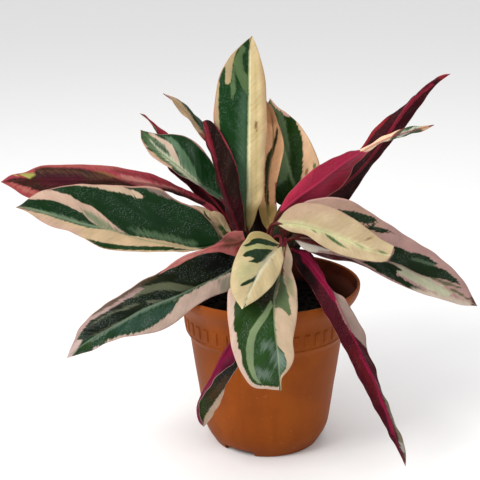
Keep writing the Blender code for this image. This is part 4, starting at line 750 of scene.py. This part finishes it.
class Tree:
    """Short calls for building a node tree."""

    def __init__(self, name):
        self.material = bpy.data.materials.new(name)
        self.material.use_nodes = True
        self.nodes = self.material.node_tree.nodes
        self.links = self.material.node_tree.links
        self.shader = self.nodes["Principled BSDF"]

    def add(self, kind, **settings):
        node = self.nodes.new(kind)
        for key, value in settings.items():
            setattr(node, key, value)
        return node

    def put(self, socket, value):
        if isinstance(value, bpy.types.NodeSocket):
            self.links.new(value, socket)
        elif value is not None:
            socket.default_value = value

    def math(self, operation, a, b=None, c=None, clamp=False):
        node = self.add("ShaderNodeMath", operation=operation, use_clamp=clamp)
        for i, value in enumerate((a, b, c)):
            self.put(node.inputs[i], value)
        return node.outputs[0]

    def mix(self, share, first, second, blend="MIX"):
        node = self.add("ShaderNodeMix", data_type="RGBA", blend_type=blend, clamp_factor=True)
        self.put(node.inputs["Factor"], share)
        for name, value in (("A", first), ("B", second)):
            socket = [s for s in node.inputs if s.name == name and s.type == "RGBA"][0]
            self.put(socket, value)
        return [s for s in node.outputs if s.type == "RGBA"][0]

    def ramp(self, value, low, high, to_low=0.0, to_high=1.0, kind="SMOOTHSTEP"):
        node = self.add("ShaderNodeMapRange", interpolation_type=kind, clamp=True) if kind == "LINEAR" else self.add("ShaderNodeMapRange", interpolation_type=kind)
        for i, v in enumerate((value, low, high, to_low, to_high)):
            self.put(node.inputs[i], v)
        return node.outputs[0]

    def attribute(self, name, kind="Fac"):
        return self.add("ShaderNodeAttribute", attribute_name=name).outputs[kind]

    def scaled(self, vector, scale, offset=(0, 0, 0)):
        node = self.add("ShaderNodeMapping")
        self.put(node.inputs["Vector"], vector)
        node.inputs["Scale"].default_value = scale
        node.inputs["Location"].default_value = offset
        return node.outputs[0]

    def noise(self, vector, scale, detail=2.0, rough=0.5):
        node = self.add("ShaderNodeTexNoise")
        self.put(node.inputs["Vector"], vector)
        node.inputs["Scale"].default_value = scale
        node.inputs["Detail"].default_value = detail
        node.inputs["Roughness"].default_value = rough
        return node.outputs["Fac"] if "Fac" in node.outputs else node.outputs[0]

    def bump(self, height, strength, distance):
        node = self.add("ShaderNodeBump")
        node.inputs["Strength"].default_value = strength
        node.inputs["Distance"].default_value = distance
        self.put(node.inputs["Height"], height)
        self.links.new(node.outputs[0], self.shader.inputs["Normal"])

    def finish(self, colour, roughness):
        self.put(self.shader.inputs["Base Color"], colour)
        self.put(self.shader.inputs["Roughness"], roughness)
        return self.material


def leaf_material(name, marks, prefix, seed, behind=False, gloss=0.36):
    tree = Tree(name)
    vein = tree.attribute("vein", "Vector")
    offset = (seed * 13.7 % 97, seed * 5.3 % 41, 0.0)
    # Streaks lie along the side veins: they run fast across them and slowly along them.
    broad = tree.noise(tree.scaled(vein, (0.42, 0.09, 0.0), offset), 1.0, 3.0, 0.6)
    fine = tree.noise(tree.scaled(vein, (1.9, 0.22, 0.0), offset), 1.0, 2.0, 0.55)
    hair = tree.noise(tree.scaled(vein, (4.4, 0.3, 0.0), offset), 1.0, 1.0, 0.5)
    cloud = tree.noise(tree.scaled(vein, (0.05, 0.08, 0.06), offset), 1.0, 2.0, 0.5)
    ragged = tree.math("ADD", tree.math("MULTIPLY", tree.math("SUBTRACT", broad, 0.5), 7.5), tree.math("MULTIPLY", tree.math("SUBTRACT", fine, 0.5), 5.0))
    ragged = tree.math("ADD", ragged, tree.math("MULTIPLY", tree.math("SUBTRACT", hair, 0.5), 1.6))
    other = dict(BEHIND_UPPER, **marks.get("behind", {}))

    def look(kind, colour):
        red, green, blue = other[kind] if behind else colour
        # Greens are kept warm, because the sky's gloss cools them.
        return (red, green, blue * 0.72) if green > red and green > blue and green < 100 else (red, green, blue)

    # tone scales all of a leaf's colours; above 1 it is painted light, brightening inner and back leaves against the
    # shade they get among the others.
    tone_by = marks.get("tone", 1.0)
    colour = srgb(*look("ground", marks["ground"]), tone=tone_by)
    for i, a in enumerate(marks["areas"]):
        depth = tree.attribute(f"{prefix}{i}")
        value = tree.math("MULTIPLY_ADD", ragged, a["rag"] * 0.8, depth)
        share = tree.ramp(value, -a["soft"], a["soft"], 0.0, a["mix"])
        colour = tree.mix(share, colour, srgb(*look(a["kind"], a["colour"]), tone=tone_by))
    # A faint line along the midrib, fading to the tip, and finer tones between the side veins.
    split = tree.add("ShaderNodeSeparateXYZ")
    tree.links.new(vein, split.inputs[0])
    across = tree.math("ABSOLUTE", split.outputs[1])
    rib = tree.ramp(across, 0.9, 0.25, 0.0, 0.55)
    colour = tree.mix(rib, colour, srgb(*(BEHIND_RIB if behind else marks["rib"])))
    tone = tree.ramp(hair, 0.25, 0.75, 0.86, 1.12, "LINEAR")
    tone = tree.math("MULTIPLY", tone, tree.ramp(fine, 0.25, 0.75, 0.92, 1.08, "LINEAR"))
    tone = tree.math("MULTIPLY", tone, tree.ramp(cloud, 0.25, 0.75, 0.88, 1.12, "LINEAR"))
    grey = tree.add("ShaderNodeCombineColor")
    for i in range(3):
        tree.links.new(tone, grey.inputs[i])
    colour = tree.mix(1.0, colour, grey.outputs[0], "MULTIPLY")
    if not behind:
        # Small pale flecks in drifts: partly dried water marks, partly painted gloss sparkle standing in for
        # highlights.
        spots = tree.noise(tree.scaled(vein, (1.5, 1.5, 0.0), offset), 1.0, 2.0, 0.7)
        drift = tree.noise(tree.scaled(vein, (0.07, 0.09, 0.0), offset), 1.0, 1.0, 0.5)
        water_mark_and_glint = tree.math("MULTIPLY", tree.ramp(spots, 0.585, 0.67, 0.0, 0.55), tree.ramp(drift, 0.40, 0.56))
        colour = tree.mix(water_mark_and_glint, colour, srgb(172, 194, 184) if gloss < 0.4 else srgb(170, 120, 112))
    rim = tree.ramp(tree.attribute("rim"), 0.955, 0.985, 0.0, 0.75)
    colour = tree.mix(rim, colour, srgb(*(BEHIND_EDGE if behind else marks["edge"])))
    rough = tree.ramp(cloud, 0.3, 0.7, gloss - 0.05, gloss + 0.1, "LINEAR")
    tree.bump(tree.math("ADD", hair, tree.math("MULTIPLY", fine, 1.5)), 0.28, 0.00025)
    tree.shader.inputs["Specular IOR Level"].default_value = 0.1 if gloss < 0.4 else 0.07
    tree.shader.inputs["Coat Weight"].default_value = 0.02 if gloss < 0.4 else 0.0
    tree.shader.inputs["Coat Roughness"].default_value = 0.3
    return tree.finish(colour, rough)


def stalk_material(name, low, high, seed):
    tree = Tree(name)
    vein = tree.attribute("vein", "Vector")
    offset = (seed * 3.1, seed * 7.7, 0.0)
    lines = tree.noise(tree.scaled(vein, (1.6, 0.05, 0.0), offset), 1.0, 2.0)
    blotch = tree.noise(tree.scaled(vein, (0.3, 0.12, 0.0), offset), 1.0, 3.0)
    split = tree.add("ShaderNodeSeparateXYZ")
    tree.links.new(vein, split.inputs[0])
    share = tree.math("ADD", split.outputs[2], tree.math("MULTIPLY", tree.math("SUBTRACT", blotch, 0.5), 0.5))
    colour = tree.mix(tree.ramp(share, 0.05, 0.95), srgb(*low), srgb(*high))
    colour = tree.mix(tree.ramp(lines, 0.5, 0.75, 0.0, 0.5), colour, srgb(*(min(c * 1.5 + 14, 255) for c in high)))
    tree.bump(lines, 0.3, 0.0002)
    tree.shader.inputs["Specular IOR Level"].default_value = 0.2
    return tree.finish(colour, tree.ramp(blotch, 0.3, 0.7, 0.4, 0.52, "LINEAR"))


def pot_material():
    tree = Tree("pot_plastic")
    where = tree.add("ShaderNodeTexCoord").outputs["Object"]
    split = tree.add("ShaderNodeSeparateXYZ")
    tree.links.new(where, split.inputs[0])
    cloud = tree.noise(where, 26.0, 3.0, 0.55)
    streak = tree.noise(tree.scaled(where, (150, 150, 9)), 1.0, 2.0, 0.5)
    grain = tree.noise(where, 1500.0, 2.0, 0.6)
    speck = tree.noise(where, 420.0, 1.0, 0.5)
    colour = tree.mix(tree.ramp(cloud, 0.35, 0.65), srgb(162, 78, 20), srgb(174, 87, 25))
    colour = tree.mix(tree.ramp(streak, 0.45, 0.75, 0.0, 0.35), colour, srgb(152, 70, 18))
    # Painted shade: the outer wall is darker towards the foot of the pot.
    low = tree.ramp(split.outputs[2], 0.045, 0.0, 0.0, 0.4)
    colour = tree.mix(low, colour, srgb(126, 58, 15))
    dust = tree.ramp(speck, 0.7, 0.78, 0.0, 0.35)
    colour = tree.mix(dust, colour, srgb(190, 132, 88))
    tree.bump(tree.math("ADD", grain, tree.math("MULTIPLY", streak, 0.5)), 0.2, 0.00014)
    tree.shader.inputs["Specular IOR Level"].default_value = 0.1
    return tree.finish(colour, tree.ramp(cloud, 0.3, 0.7, 0.47, 0.58, "LINEAR"))


def pot_inside_material():
    """The inner wall: the same plastic, painted darker all over as shade, and darker still towards the bottom, near
    the soil, as painted shade.
    """
    tree = Tree("pot_plastic_inside")
    where = tree.add("ShaderNodeTexCoord").outputs["Object"]
    split = tree.add("ShaderNodeSeparateXYZ")
    tree.links.new(where, split.inputs[0])
    cloud = tree.noise(where, 60.0, 4.0, 0.6)
    wander = tree.noise(tree.scaled(where, (190, 190, 30)), 1.0, 3.0, 0.6)
    colour = tree.mix(tree.ramp(cloud, 0.35, 0.65), srgb(102, 36, 11), srgb(118, 45, 14))
    level = tree.math("ADD", split.outputs[2], tree.math("MULTIPLY", tree.math("SUBTRACT", wander, 0.5), 0.014))
    # Painted shade: darker below about the soil's height, with a wandering edge.
    colour = tree.mix(tree.ramp(level, 0.124, 0.106, 0.0, 0.8), colour, srgb(48, 18, 9))
    tree.bump(cloud, 0.2, 0.0002)
    tree.shader.inputs["Specular IOR Level"].default_value = 0.1
    return tree.finish(colour, tree.ramp(wander, 0.3, 0.7, 0.5, 0.7, "LINEAR"))


def soil_material():
    tree = Tree("potting_soil")
    where = tree.add("ShaderNodeTexCoord").outputs["Object"]
    lumps = tree.noise(where, 210.0, 5.0, 0.65)
    crumbs = tree.noise(where, 900.0, 3.0, 0.6)
    fibre = tree.noise(tree.scaled(where, (500, 120, 300)), 1.0, 2.0, 0.5)
    colour = tree.mix(tree.ramp(lumps, 0.35, 0.7), srgb(9, 6, 5), srgb(24, 17, 12))
    colour = tree.mix(tree.ramp(fibre, 0.62, 0.72, 0.0, 0.7), colour, srgb(46, 32, 22))
    colour = tree.mix(tree.ramp(crumbs, 0.7, 0.78, 0.0, 0.5), colour, srgb(64, 50, 38))
    tree.bump(tree.math("ADD", lumps, crumbs), 0.7, 0.0012)
    tree.shader.inputs["Specular IOR Level"].default_value = 0.04
    return tree.finish(colour, tree.ramp(crumbs, 0.3, 0.7, 0.82, 0.97, "LINEAR"))


# ---------------------------------------------------------------------------------------------------------------
# Pieces


def stalk_path(suffix, leaf):
    _, mid, _ = blade_rails(leaf, np.linspace(0, 1, 41), least=0.6)
    base, start = mid[0], unit(mid[2] - mid[0])
    end = base - start * 0.2
    spread = [c + STALK_SPREAD * (b - c) for c, b in zip(CROWN, base)]
    foot = np.array([*STALK_FOOT.get(suffix, spread), SOIL_TOP - 0.8])
    reach = np.linalg.norm(end - foot)
    by = STALK_BY.get(suffix)
    x = np.linspace(0, 1, 60)[:, None]
    if by is None:
        knee_low = foot + np.array([0.0, 0.0, 0.35 * reach])
        knee_high = end - start * 0.22 * reach
        path = (1 - x) ** 3 * foot + 3 * x * (1 - x) ** 2 * knee_low + 3 * x**2 * (1 - x) * knee_high + x**3 * end
    else:
        path = along(np.vstack([foot, *[at(*b) for b in by], end]), x[:, 0])
    # The stalk runs on as a short rib under the blade, so that the two meet.
    under = unit(np.cross(np.cross(start, np.array([0.0, 0.0, -1.0])), start))
    tail = [end + start * d + under * 0.35 for d in (2.0, 4.5)]
    return np.vstack([path, tail])


def add_stalk(suffix, leaf, seed):
    path = stalk_path(suffix, leaf)
    run = np.concatenate([[0.0], np.cumsum(np.linalg.norm(np.diff(path, axis=0), axis=1))])
    length = run[-1]
    rows, sides = max(24, int(length / 1.6)), 18
    shares = np.linspace(0, 1, rows)
    points = np.stack([np.interp(shares * length, run, path[:, k]) for k in range(3)], -1)
    tangent = unit(np.gradient(points, axis=0))
    side = unit(np.cross(tangent, np.array([0.0, 1.0, 0.0])))
    other = np.cross(side, tangent)
    rng = random.Random(seed)
    # A sheath wraps the foot, opens as a lip and narrows; a swollen joint sits just under the blade.
    sheath_end = rng.uniform(0.42, 0.58) * length
    dist = shares * length
    from_top = length - 3.0 - dist
    radius = 1.25 - 0.25 * shares
    radius += 1.15 * np.clip(1 - dist / sheath_end, 0, 1) ** 0.6 * np.clip(dist / 3.0 + 0.6, 0, 1)
    radius += 0.5 * np.exp(-(((from_top - 4.5) / 3.2) ** 2))
    radius *= np.clip((length - dist) / 2.5, 0.12, 1) ** 0.5
    turn0 = rng.uniform(0, 2 * math.pi)
    verts, faces, vein = [], [], []
    for i in range(rows):
        for j in range(sides):
            turn = 2 * math.pi * j / sides
            flat = 1.0
            lip = 0.0
            if dist[i] < sheath_end:
                open_ = abs(((turn - turn0 + math.pi) % (2 * math.pi)) - math.pi)
                lip = 0.45 * math.exp(-((open_ / 0.22) ** 2)) - 0.3 * math.exp(-(((open_ - 0.5) / 0.2) ** 2))
                lip *= min(1.0, (sheath_end - dist[i]) / 4)
            ridge = 0.035 * math.sin(turn * 6 + 1.5)
            r = radius[i] * flat * (1 + ridge) + lip
            p = points[i] + r * (math.cos(turn) * side[i] + math.sin(turn) * other[i])
            p[2] = max(p[2], SOIL_TOP - 1.5) if i < 4 else p[2]
            verts.append(tuple(p * MM))
            vein.append((turn * 3, dist[i], shares[i]))
    for i in range(rows - 1):
        for j in range(sides):
            a, b = i * sides + j, i * sides + (j + 1) % sides
            faces.append((a, a + sides, b + sides, b))
    faces.append(tuple(range(sides)))
    last = (rows - 1) * sides
    faces.append(tuple(last + j for j in range(sides - 1, -1, -1)))
    mesh = bpy.data.meshes.new("petiole_" + suffix)
    mesh.from_pydata(verts, [], faces)
    made = bmesh.new()
    made.from_mesh(mesh)
    bmesh.ops.recalc_face_normals(made, faces=made.faces)
    made.to_mesh(mesh)
    made.free()
    mesh.polygons.foreach_set("use_smooth", np.ones(len(mesh.polygons), bool))
    uv = mesh.uv_layers.new(name="leaf")
    loops = np.empty(len(mesh.loops), np.int32)
    mesh.loops.foreach_get("vertex_index", loops)
    place = np.array([((k % sides) / (sides - 1), vein[k][2]) for k in range(len(verts))])
    uv.data.foreach_set("uv", place[loops].astype(np.float32).ravel())
    attribute = mesh.attributes.new("vein", "FLOAT_VECTOR", "POINT")
    attribute.data.foreach_set("vector", np.array(vein, np.float32).ravel())
    low, high = ((92, 14, 22), (118, 28, 42)) if rng.random() < 0.65 else ((84, 14, 22), (104, 40, 34))
    mesh.materials.append(stalk_material("petiole_" + suffix, low, high, seed))
    obj = bpy.data.objects.new("petiole_" + suffix, mesh)
    bpy.context.scene.collection.objects.link(obj)
    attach(obj, "root")
    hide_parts("stalk_" + suffix)
    return obj


def add_blade(suffix, leaf, seed):
    _, mid, _ = blade_rails(leaf, np.linspace(0, 1, 60))
    length = np.linalg.norm(np.diff(mid, axis=0), axis=1).sum()
    rows = int(np.clip(length / 1.0, 44, 185))
    surf = blade_surface(leaf, seed, rows, 40)
    sheet = on_sheet(surf["grid"].reshape(-1, 3))
    plan = np.stack([surf["S"].ravel() * PLAN_LENGTH, (np.sign(surf["t"])[None, :] * surf["T"]).ravel() * PLAN_HALF], -1)
    seen = MARKS.get(suffix)
    rule = plan_set(seed + 3)
    fields = {}
    if seen is None:
        for i, values in enumerate(areas_at(rule["areas"], plan)):
            fields[f"n{i}"] = values
    else:
        for i, values in enumerate(areas_at(seen["areas"], sheet)):
            fields[f"m{i}"] = values
        if leaf["under"]:
            for i, values in enumerate(areas_at(rule["areas"], plan)):
                fields[f"n{i}"] = values
    obj = blade_mesh("blade_" + suffix, surf, fields)
    if seen is None:
        upper = leaf_material(f"{suffix}_upper", rule, "n", seed)
        lower = leaf_material(f"{suffix}_lower", rule, "n", seed, behind=True, gloss=0.5)
    elif leaf["under"]:
        upper = leaf_material(f"{suffix}_upper", rule, "n", seed)
        lower = leaf_material(f"{suffix}_lower", seen, "m", seed, gloss=0.5)
    else:
        upper = leaf_material(f"{suffix}_upper", seen, "m", seed)
        lower = leaf_material(f"{suffix}_lower", seen, "m", seed, behind=True, gloss=0.5)
    obj.data.materials.append(upper)
    obj.data.materials.append(lower)
    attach(obj, "root")
    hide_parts("leaf_" + suffix)
    return obj


def add_fold(suffix, leaf, seed):
    surf = blade_surface(leaf, seed, 70, 16)
    sheet = on_sheet(surf["grid"].reshape(-1, 3))
    marks = FOLD_MARKS[suffix]
    fields = {f"m{i}": values for i, values in enumerate(areas_at(marks["areas"], sheet))}
    obj = blade_mesh("fold_" + suffix, surf, fields, rib=0.0)
    obj.data.materials.append(leaf_material(f"fold_{suffix}_upper", plan_set(seed), "m", seed) if not leaf["under"] else leaf_material(f"fold_{suffix}_upper", dict(marks, ground=(60, 66, 40)), "m", seed))
    obj.data.materials.append(leaf_material(f"fold_{suffix}_lower", marks, "m", seed, gloss=0.5))
    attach(obj, "root")
    return obj


def turned_mesh(name, profile, sides, wobble=None):
    """A closed body of revolution from a closed (radius, height) profile in mm."""
    points, rings, faces = [], [], []
    for radius, height in profile:
        if radius < 1e-9:
            rings.append([len(points)])
            points.append((0.0, 0.0, height * MM))
            continue
        rings.append(list(range(len(points), len(points) + sides)))
        for j in range(sides):
            turn = 2 * math.pi * (j + 0.5) / sides
            points.append((radius * math.cos(turn) * MM, radius * math.sin(turn) * MM, height * MM))
    for first, second in zip(rings, rings[1:] + rings[:1]):
        if len(first) == 1 and len(second) == 1:
            continue
        for j in range(sides):
            k = (j + 1) % sides
            if len(first) == 1:
                faces.append((first[0], second[k], second[j]))
            elif len(second) == 1:
                faces.append((first[j], first[k], second[0]))
            else:
                faces.append((first[j], first[k], second[k], second[j]))
    mesh = bpy.data.meshes.new(name)
    mesh.from_pydata(points, [], faces)
    made = bmesh.new()
    made.from_mesh(mesh)
    bmesh.ops.recalc_face_normals(made, faces=made.faces)
    if made.calc_volume(signed=True) < 0:
        bmesh.ops.reverse_faces(made, faces=made.faces)
    made.to_mesh(mesh)
    made.free()
    return mesh


def rounded(profile, corners, steps=5):
    """The profile with some corners replaced by arcs: corners gives each one's setback in mm."""
    out = []
    count = len(profile)
    for i, (r, z) in enumerate(profile):
        if i not in corners:
            out.append((r, z))
            continue
        here = np.array((r, z))
        before, after = np.array(profile[i - 1]), np.array(profile[(i + 1) % count])
        a = here + (before - here) / np.linalg.norm(before - here) * corners[i]
        b = here + (after - here) / np.linalg.norm(after - here) * corners[i]
        for x in np.linspace(0, 1, steps):
            out.append(tuple((1 - x) ** 2 * a + 2 * x * (1 - x) * here + x**2 * b))
    return out


def add_pot():
    profile = [
        (40.5, 0.0), (41.5, 1.5), (47.8, 12.0), (50.6, 32.0), (52.0, 43.0), (54.4, 59.0), (57.2, 80.0), (58.0, 86.5),
        (61.0, 90.0), (61.8, 101.7), (62.8, 107.5), (65.3, 112.5), (69.0, 117.5), (71.0, 122.5), (71.0, 126.0),
        (69.0, 126.0), (68.4, 123.0), (67.4, 118.4), (63.8, 113.6), (61.4, 108.2), (60.4, 101.7), (59.7, 91.2),
        (56.6, 85.8), (46.2, 12.0), (40.5, 7.4), (0.0, 7.4),
        (0.0, 0.0), (14.0, 0.0), (15.0, 5.2), (34.5, 5.2), (36.0, 4.4), (36.0, 0.0),
    ]
    corners = {0: 0.5, 1: 0.8, 2: 6.0, 3: 5.0, 7: 1.6, 8: 1.6, 10: 2.5, 11: 2.5, 12: 2.2, 13: 2.2, 14: 0.95, 15: 0.95, 17: 1.6, 18: 1.8, 19: 1.6,
               21: 1.2, 22: 1.2, 23: 3.0, 24: 2.0, 27: 0.5, 28: 0.5, 29: 0.6, 31: 0.7}
    pot = bpy.data.objects.new("pot_moulded", turned_mesh("pot_moulded", rounded(profile, corners), 192))
    bpy.context.scene.collection.objects.link(pot)
    cutters = []
    for i in range(3):
        turn = math.radians(239.5 + 120.0 * i)
        bpy.ops.mesh.primitive_cube_add(size=1.0)
        cutter = bpy.context.object
        cutter.scale = (30 * MM, 25 * MM, 10 * MM)
        cutter.rotation_euler = (0, 0, turn)
        cutter.location = (44.5 * MM * math.cos(turn), 44.5 * MM * math.sin(turn), 0)
        bevel = cutter.modifiers.new("soften", "BEVEL")
        bevel.width, bevel.segments = 0.9 * MM, 3
        cutters.append(cutter)
    for i in range(6):
        turn = math.radians(239.5 + 60.0 * i)
        bpy.ops.mesh.primitive_cylinder_add(vertices=40, radius=3.5 * MM, depth=0.012, location=(25 * MM * math.cos(turn), 25 * MM * math.sin(turn), 6.3 * MM))
        cutters.append(bpy.context.object)
    for cutter in cutters:
        cut = pot.modifiers.new("cut", "BOOLEAN")
        cut.operation, cut.object, cut.solver = "DIFFERENCE", cutter, "EXACT"
    bpy.context.view_layer.update()
    mesh = bpy.data.meshes.new_from_object(pot.evaluated_get(bpy.context.evaluated_depsgraph_get()))
    pot.modifiers.clear()
    pot.data = mesh
    for cutter in cutters:
        bpy.data.objects.remove(cutter, do_unlink=True)
    mesh.polygons.foreach_set("use_smooth", np.ones(len(mesh.polygons), bool))
    mesh.set_sharp_from_angle(angle=math.radians(34))
    material = pot_material()
    mesh.materials.clear()
    mesh.materials.append(material)
    mesh.materials.append(pot_inside_material())
    # The faces of the inner wall, below the lip, take the darker inside plastic, which is painted shade.
    for face in mesh.polygons:
        x, y, z = (c / MM for c in face.center)
        within = np.interp(z, [7, 12, 85.8, 91.2, 101.7, 108.2, 113.6, 118.4, 123.0, 124.6], [41, 46.4, 57.0, 60.0, 60.8, 61.8, 64.2, 67.8, 68.8, 69.2])
        if 7.0 < z < 124.4 and math.hypot(x, y) < within + 0.35:
            face.material_index = 1
    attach(pot, "root")
    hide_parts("pot")
    add_collar_tabs(material)
    return pot


def collar_radius(z):
    return float(np.interp(z, [86.5, 90.0, 101.7, 107.5, 112.5], [58.0, 61.0, 61.8, 62.8, 65.3]))


def add_collar_tabs(material):
    """A moulded band of low plain tabs around the collar, with softened edges."""
    verts, faces = [], []
    tabs = 44
    half_turn = 2 * math.pi / tabs * 0.27
    low, high = 93.5, 104.5
    nu, nv = 9, 9
    for k in range(tabs):
        middle = 2 * math.pi * (k + 0.5) / tabs
        start = len(verts)
        for i in range(nu):
            for j in range(nv):
                a, b = i / (nu - 1) * 2 - 1, j / (nv - 1) * 2 - 1
                a, b = (math.copysign(abs(x) ** 0.7, x) for x in (a, b))
                z = (low + high) / 2 + b * (high - low) / 2
                drop = max(abs(a), abs(b))
                relief = 0.75 * (1 - max(0.0, (drop - 0.72) / 0.28) ** 2) if drop > 0.72 else 0.75
                if drop > 0.999:
                    relief = -0.5
                r = collar_radius(z) + relief
                turn = middle + a * half_turn
                verts.append((r * math.cos(turn) * MM, r * math.sin(turn) * MM, z * MM))
        for i in range(nu - 1):
            for j in range(nv - 1):
                a = start + i * nv + j
                faces.append((a, a + nv, a + nv + 1, a + 1))
    # A thin raised line runs under the band.
    for z, tall in ((91.4, 0.3),):
        start = len(verts)
        around, round_ = 180, 8
        for i in range(around):
            turn = 2 * math.pi * i / around
            for j in range(round_):
                w = 2 * math.pi * j / round_
                r = collar_radius(z) + tall * math.cos(w)
                verts.append((r * math.cos(turn) * MM, r * math.sin(turn) * MM, (z + tall * math.sin(w)) * MM))
        for i in range(around):
            for j in range(round_):
                a, b = start + i * round_ + j, start + i * round_ + (j + 1) % round_
                c, d = start + ((i + 1) % around) * round_ + (j + 1) % round_, start + ((i + 1) % around) * round_ + j
                faces.append((a, b, c, d))
    mesh = bpy.data.meshes.new("collar_band")
    mesh.from_pydata(verts, [], faces)
    made = bmesh.new()
    made.from_mesh(mesh)
    bmesh.ops.recalc_face_normals(made, faces=made.faces)
    made.to_mesh(mesh)
    made.free()
    mesh.polygons.foreach_set("use_smooth", np.ones(len(mesh.polygons), bool))
    mesh.materials.append(material)
    obj = bpy.data.objects.new("collar_band", mesh)
    bpy.context.scene.collection.objects.link(obj)
    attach(obj, "root")
    return obj


def add_soil():
    rings, sides = 46, 150
    profile = [(0.0, 7.75), (40.0, 7.75), (45.85, 12.5), (56.0, 85.6), (59.1, 91.5), (59.9, 101.7), (60.5, 107.0)]
    profile += [(60.0 * i / rings, 108.0) for i in range(rings, -1, -1)]
    mesh = turned_mesh("soil_bed", profile, sides)
    rng = random.Random(5)
    for v in mesh.vertices:
        if v.co.z > 0.1075:
            p = v.co / MM
            away = math.hypot(p.x, p.y)
            lump = noise.noise(Vector((p.x * 0.09, p.y * 0.09, 2.0))) * 1.3 + noise.noise(Vector((p.x * 0.33, p.y * 0.33, 7.0))) * 0.9
            lump += noise.noise(Vector((p.x * 1.1, p.y * 1.1, 4.0))) * 0.45
            v.co.z += (lump - 0.035 * max(0.0, away - 35)) * MM * min(1.0, (61 - away) / 4)
    mesh.polygons.foreach_set("use_smooth", np.ones(len(mesh.polygons), bool))
    mesh.set_sharp_from_angle(angle=math.radians(60))
    material = soil_material()
    mesh.materials.append(material)
    bed = bpy.data.objects.new("soil_bed", mesh)
    bpy.context.scene.collection.objects.link(bed)
    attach(bed, "root")
    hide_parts("soil")
    # Loose crumbs and short bits of bark lie on the bed.
    made = bmesh.new()
    for k in range(520):
        turn, away = rng.uniform(0, 2 * math.pi), 58.0 * math.sqrt(rng.random())
        size = rng.uniform(0.7, 2.1) * (0.6 if away > 54 else 1)
        shape = (size * rng.uniform(0.8, 1.7), size * rng.uniform(0.7, 1.1), size * rng.uniform(0.45, 0.8))
        place = Matrix.Translation(((away * math.cos(turn)) * MM, (away * math.sin(turn)) * MM, (108.2 + rng.uniform(-0.3, 0.5) - 0.02 * max(0, away - 35)) * MM))
        place = place @ Matrix.Rotation(rng.uniform(0, 6.3), 4, "Z") @ Matrix.Rotation(rng.uniform(-0.4, 0.4), 4, "X") @ Matrix.Diagonal((*[s * MM for s in shape], 1.0))
        ball = bmesh.ops.create_icosphere(made, subdivisions=1, radius=1.0)
        for v in ball["verts"]:
            v.co *= 1 + rng.uniform(-0.22, 0.22)
            v.co = place @ v.co
    mesh = bpy.data.meshes.new("soil_crumbs")
    made.to_mesh(mesh)
    made.free()
    mesh.materials.append(material)
    crumbs = bpy.data.objects.new("soil_crumbs", mesh)
    bpy.context.scene.collection.objects.link(crumbs)
    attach(crumbs, "root")


# ---------------------------------------------------------------------------------------------------------------
# Floor, light and camera


def add_stage():
    mesh = bpy.data.meshes.new("floor")
    mesh.from_pydata([(-9, -9, -0.0004), (9, -9, -0.0004), (9, 9, -0.0004), (-9, 9, -0.0004)], [], [(0, 1, 2, 3)])
    tree = Tree("floor")
    where = tree.add("ShaderNodeTexCoord").outputs["Object"]
    cloud = tree.noise(where, 1.2, 2.0)
    tree.finish(tree.mix(cloud, (0.95, 0.95, 0.95, 1), (0.96, 0.96, 0.957, 1)), 0.7)
    mesh.materials.append(tree.material)
    floor = bpy.data.objects.new("floor", mesh)
    bpy.context.scene.collection.objects.link(floor)

    world = bpy.data.worlds.new("studio")
    world.use_nodes = True
    back = world.node_tree.nodes["Background"]
    back.inputs["Color"].default_value = (1.0, 1.0, 1.0, 1.0)
    back.inputs["Strength"].default_value = 0.76
    bpy.context.scene.world = world

    def soft_light(name, place, target, size, power, colour=(1, 1, 1)):
        lamp = bpy.data.lights.new(name, "AREA")
        lamp.shape, lamp.size, lamp.size_y = "RECTANGLE", size[0], size[1]
        lamp.energy, lamp.color = power, colour
        obj = bpy.data.objects.new(name, lamp)
        way = Vector(target) - Vector(place)
        obj.matrix_world = Matrix.Translation(place) @ way.to_track_quat("-Z", "Y").to_matrix().to_4x4()
        bpy.context.scene.collection.objects.link(obj)

    soft_light("key", (-0.85, -0.75, 1.05), (0, 0, 0.15), (0.6, 0.6), 16.0, (1.0, 0.985, 0.965))
    soft_light("fill", (1.1, -0.9, 0.5), (0, 0, 0.12), (0.9, 0.9), 1.2, (0.97, 0.985, 1.0))
    soft_light("top", (0.1, 0.5, 1.5), (0, 0, 0.15), (1.0, 1.0), 4.0)


def add_camera():
    lens = bpy.data.cameras.new("camera")
    lens.sensor_width = 36.0
    lens.lens = SHEET * 36.0 / 480.0
    lens.clip_start, lens.clip_end = 0.05, 50.0
    camera = bpy.data.objects.new("camera", lens)
    frame_ = Matrix.Identity(4)
    for k, axis in enumerate((ACROSS, -DOWN, -AHEAD)):
        for row in range(3):
            frame_[row][k] = float(axis[row])
    camera.matrix_world = Matrix.Translation(tuple(float(c) * MM for c in EYE)) @ frame_
    bpy.context.scene.collection.objects.link(camera)
    bpy.context.scene.camera = camera


def main():
    add_pot()
    add_soil()
    for seed, (suffix, leaf) in enumerate(LEAVES.items(), start=1):
        add_blade(suffix, leaf, seed)
        add_stalk(suffix, leaf, seed)
    for seed, (suffix, leaf) in enumerate(FOLDS.items(), start=50):
        add_fold(suffix, leaf, seed)
    add_stage()
    add_camera()
    bpy.context.scene.view_settings.view_transform = "Standard"
    bpy.context.scene.view_settings.look = "None"


main()
